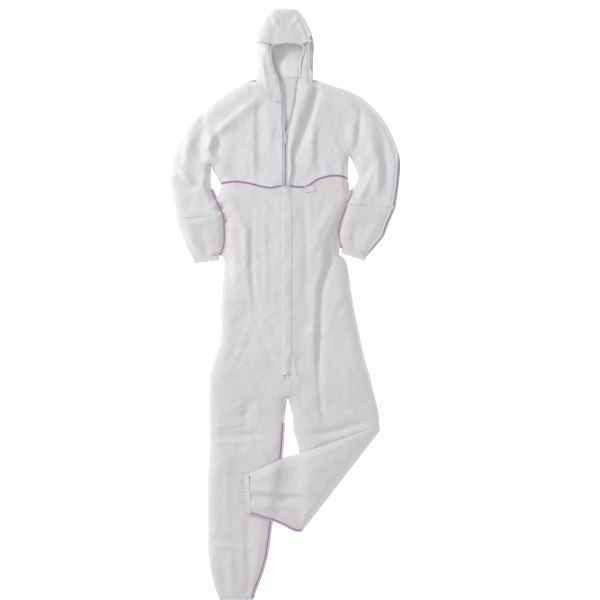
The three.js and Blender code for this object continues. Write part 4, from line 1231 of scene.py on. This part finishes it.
def pressed(name, boxes, material, body, record_slot, nodes, radius, holes=()):
    """Pressed metal from a few overlapping blocks, joined and with every edge rounded."""
    made = box_mesh(name, *boxes[0], material)
    for kind, corner_pairs in (("UNION", boxes[1:]), ("DIFFERENCE", holes)):
        for low, high in corner_pairs:
            block = box_mesh(name + "_block", low, high, material)
            applied(made, "BOOLEAN", operation=kind, object=block, solver="EXACT")
            bpy.data.objects.remove(block)
    applied(made, "BEVEL", width=radius, segments=3, limit_method="ANGLE", use_clamp_overlap=True)
    made.data.materials.clear()
    made.data.materials.append(material)
    made.data.shade_smooth()
    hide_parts(*nodes)
    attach(made, body)
    return made


for node in ("zip_top_stop_right", "zip_top_stop_left", "zip_bottom_stop"):
    low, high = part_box(node)
    middle_y, reach_y = (low.y + high.y) / 2, (high.y - low.y) / 2
    pressed(node + "_clamp", [((low.x, low.y, low.z), (high.x, middle_y - 0.15 * reach_y, high.z)),
                              ((low.x, middle_y - 0.3 * reach_y, low.z),
                               (high.x, middle_y + 0.3 * reach_y, high.z - 0.0004)),
                              ((low.x, middle_y + 0.15 * reach_y, low.z), (high.x, high.y, high.z))],
            lacquer, "suit", "zip_metal", [node], 0.0003)

# ---- slider and pull ----
# Die-cast slider: two wings joined by a post, a bail over the top, and a tapered pull with a thumb hollow.

tab_low, tab_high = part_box("pull_tab")
lower_wing = slider_low.z + 0.001
upper_wing = tab_low.z - 0.0004 - 0.001
mid_y = (slider_low.y + slider_high.y) / 2
pressed("zip_slider_body", [
    ((slider_low.x, slider_low.y + 0.0015, slider_low.z),
     (slider_high.x, slider_high.y - 0.001, lower_wing)),
    ((slider_low.x + 0.0012, slider_low.y, slider_low.z),
     (slider_high.x - 0.0012, slider_high.y, lower_wing)),
    ((slider_low.x, slider_low.y + 0.0015, upper_wing),
     (slider_high.x, slider_high.y - 0.001, upper_wing + 0.001)),
    ((slider_low.x + 0.0012, slider_low.y, upper_wing),
     (slider_high.x - 0.0012, slider_high.y, upper_wing + 0.001)),
    ((zip_x - 0.0005, mid_y, lower_wing - 0.0001),
     (zip_x + 0.0005, slider_high.y - 0.0005, upper_wing + 0.0001)),
    ((zip_x - 0.0007, mid_y + 0.0029, upper_wing + 0.0009),
     (zip_x + 0.0007, mid_y + 0.0041, slider_high.z)),
    ((zip_x - 0.0007, mid_y - 0.0041, upper_wing + 0.0009),
     (zip_x + 0.0007, mid_y - 0.0029, slider_high.z)),
    ((zip_x - 0.0007, mid_y - 0.0041, slider_high.z - 0.0012),
     (zip_x + 0.0007, mid_y + 0.0041, slider_high.z))],
    lacquer, "slider", "zip_metal", ["zip_slider"], 0.00035)
foot = tab_low.y
pressed("pull_tab_plate", [
    ((tab_low.x, tab_high.y - 0.0058, tab_low.z), (tab_high.x, tab_high.y, tab_high.z)),
    ((tab_low.x + 0.0012, foot + 0.010, tab_low.z), (tab_high.x - 0.0012, tab_high.y - 0.0050, tab_high.z)),
    ((tab_low.x, foot + 0.003, tab_low.z), (tab_high.x, foot + 0.012, tab_high.z)),
    ((tab_low.x + 0.0018, foot, tab_low.z), (tab_high.x - 0.0018, foot + 0.004, tab_high.z))],
    lacquer, "pull_tab", "zip_metal", ["pull_tab"], 0.0003,
    holes=[((zip_x - 0.0015, tab_high.y - 0.0056, tab_low.z - 0.001),
            (zip_x + 0.0015, tab_high.y - 0.0012, tab_high.z + 0.001)),
           ((tab_low.x + 0.0016, foot + 0.0045, tab_high.z - 0.0003),
            (tab_high.x - 0.0016, foot + 0.0105, tab_high.z + 0.001))])

# ---- storm flap ----
# A long double strip of film cloth sewn beside the zip. Below the chest it lies over the coils. Above, it
# has fallen open over the wearer's left chest, with a twist where the two parts meet.

low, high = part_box("storm_flap")
flap_ys = np.arange(high.y, low.y, -0.004)
sewn = np.interp(flap_ys, (-0.225, 0.093, 0.225, 0.298, 0.369, 0.380),
                 (0.0225, 0.0235, 0.0245, 0.0235, 0.0205, 0.020))
free = np.interp(flap_ys, (-0.225, 0.000, 0.093, 0.225, 0.330, 0.380),
                 (-0.0085, -0.0095, -0.0085, -0.0095, -0.008, -0.0065))
parts = []
for t in np.linspace(0, 1, 13):
    x = sewn * (1 - t) + free * t
    sway = 0.0007 * np.sin(flap_ys * 2 * np.pi / 0.11 + 3 * t) + height_at(ripple(0.016, 51), x,
                                                                           flap_ys) * 0.0005
    lie = height_at(relief, x, flap_ys) + 0.0006 + 0.0006 * math.sin(math.pi * t)
    bell = 1 - ramp(np.abs(x - zip_x), 0.0045, 0.0150)
    z = lie + (np.maximum(0.0384, lie) - lie) * bell + np.abs(sway) * (0.3 + 0.7 * bell)
    parts.append(np.column_stack([x, flap_ys, z]))
flap_cloth = cloth_material("storm_flap_cloth", (0.84, 0.822, 0.825), (0.78, 0.762, 0.765), 0.75, 0.0028,
                            0.00008, 0.8, 0.1)
made = finished("storm_flap_cloth_strip", *woven(parts), flap_cloth, 0.0005)
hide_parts("storm_flap")
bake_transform(made)

open_y = np.arange(0.7255, 0.384, -0.0035)
inner = np.interp(open_y, (0.380, 0.552, 0.571, 0.608, 0.654, 0.698, 0.726),
                  (0.0125, 0.0122, 0.020, 0.029, 0.038, 0.044, 0.049))
outer_line = even([(0.0158, 0.384), (0.0180, 0.405), (0.0250, 0.432), (0.0245, 0.478), (0.0280, 0.506),
                   (0.0470, 0.551),
                   (0.0740, 0.634), (0.0900, 0.678), (0.0880, 0.708), (0.0700, 0.7262)], 0.003)
outer = np.interp(open_y, outer_line[:, 1], outer_line[:, 0])
outer = np.maximum(outer, inner + 0.004)
parts = []
for t in np.linspace(0, 1, 15):
    x = inner * (1 - t) + outer * t
    lie = height_at(relief, x, open_y) + 0.0014
    curl = 0.0050 * np.sin(np.pi * min(t * 1.05, 1)) ** 0.7 + 0.0042 * t ** 2
    twist = 0.0040 * np.exp(-((open_y - 0.440) / 0.030) ** 2) * (1 - t) * t * 4
    sway = height_at(ripple(0.02, 53), x,
                     open_y) * 0.0008 + 0.0009 * np.sin(open_y * 2 * np.pi / 0.07 + 4 * t) * t
    settled = ramp(open_y, 0.7262, 0.690) * 0.94 + 0.06
    parts.append(np.column_stack([x, open_y, lie + (curl + twist + np.abs(sway)) * settled]))
made = finished("storm_flap_upper_cloth_strip", *woven(parts), flap_cloth, 0.0009)
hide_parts("storm_flap_upper")
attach(made, "suit")

# ---- blank label ----
# A small woven label under the chest seam on the wearer's left, with nothing on it but its own edging.

label_white = plain_material("label_weave", (0.82, 0.80, 0.83), 0.75, 0.00005, 0.1, tint=0.03)
low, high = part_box("blank_label")
turn = 0.14
label_middle = np.array(((low.x + high.x) / 2 + 0.001, (low.y + high.y) / 2 + 0.004))
label_way = np.array((math.cos(turn), math.sin(turn)))
label_up = np.array((-label_way[1], label_way[0]))
points, faces = [], []
label_columns, label_rows = 29, 21
for v in np.linspace(-0.011, 0.011, label_rows):
    for u in np.linspace(-0.016, 0.016, label_columns):
        x, y = label_middle + label_way * u + label_up * v
        curl = 0.0009 * (abs(u) / 0.016) ** 6 + 0.0005 * (abs(v) / 0.011) ** 8
        points.append((x, y, float(on_top(x, y)) + 0.0012 + curl + 0.00006 * math.sin(v * 12000)))
for r in range(label_rows - 1):
    for c in range(label_columns - 1):
        a = r * label_columns + c
        faces.append((a, a + 1, a + label_columns + 1, a + label_columns))
made = finished("blank_label_weave", points, faces, label_white, 0.0006)
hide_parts("blank_label")
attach(made, "suit")
edging = []
for v in (-0.0098, 0.0098):
    for start in np.arange(-0.0150, 0.0145, 0.0030):
        line = []
        for u in np.linspace(start, start + 0.0024, 5):
            x, y = label_middle + label_way * u + label_up * v
            arch = 0.00035 * math.sin(math.pi * (u - start) / 0.0024)
            line.append((x, y, float(on_top(x, y)) + 0.0016 + arch))
        edging.append(tube(line, 0.00042, 5))
edging = finished("blank_label_stitches", *joined(edging), purple_thread, 0)
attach(edging, "suit")
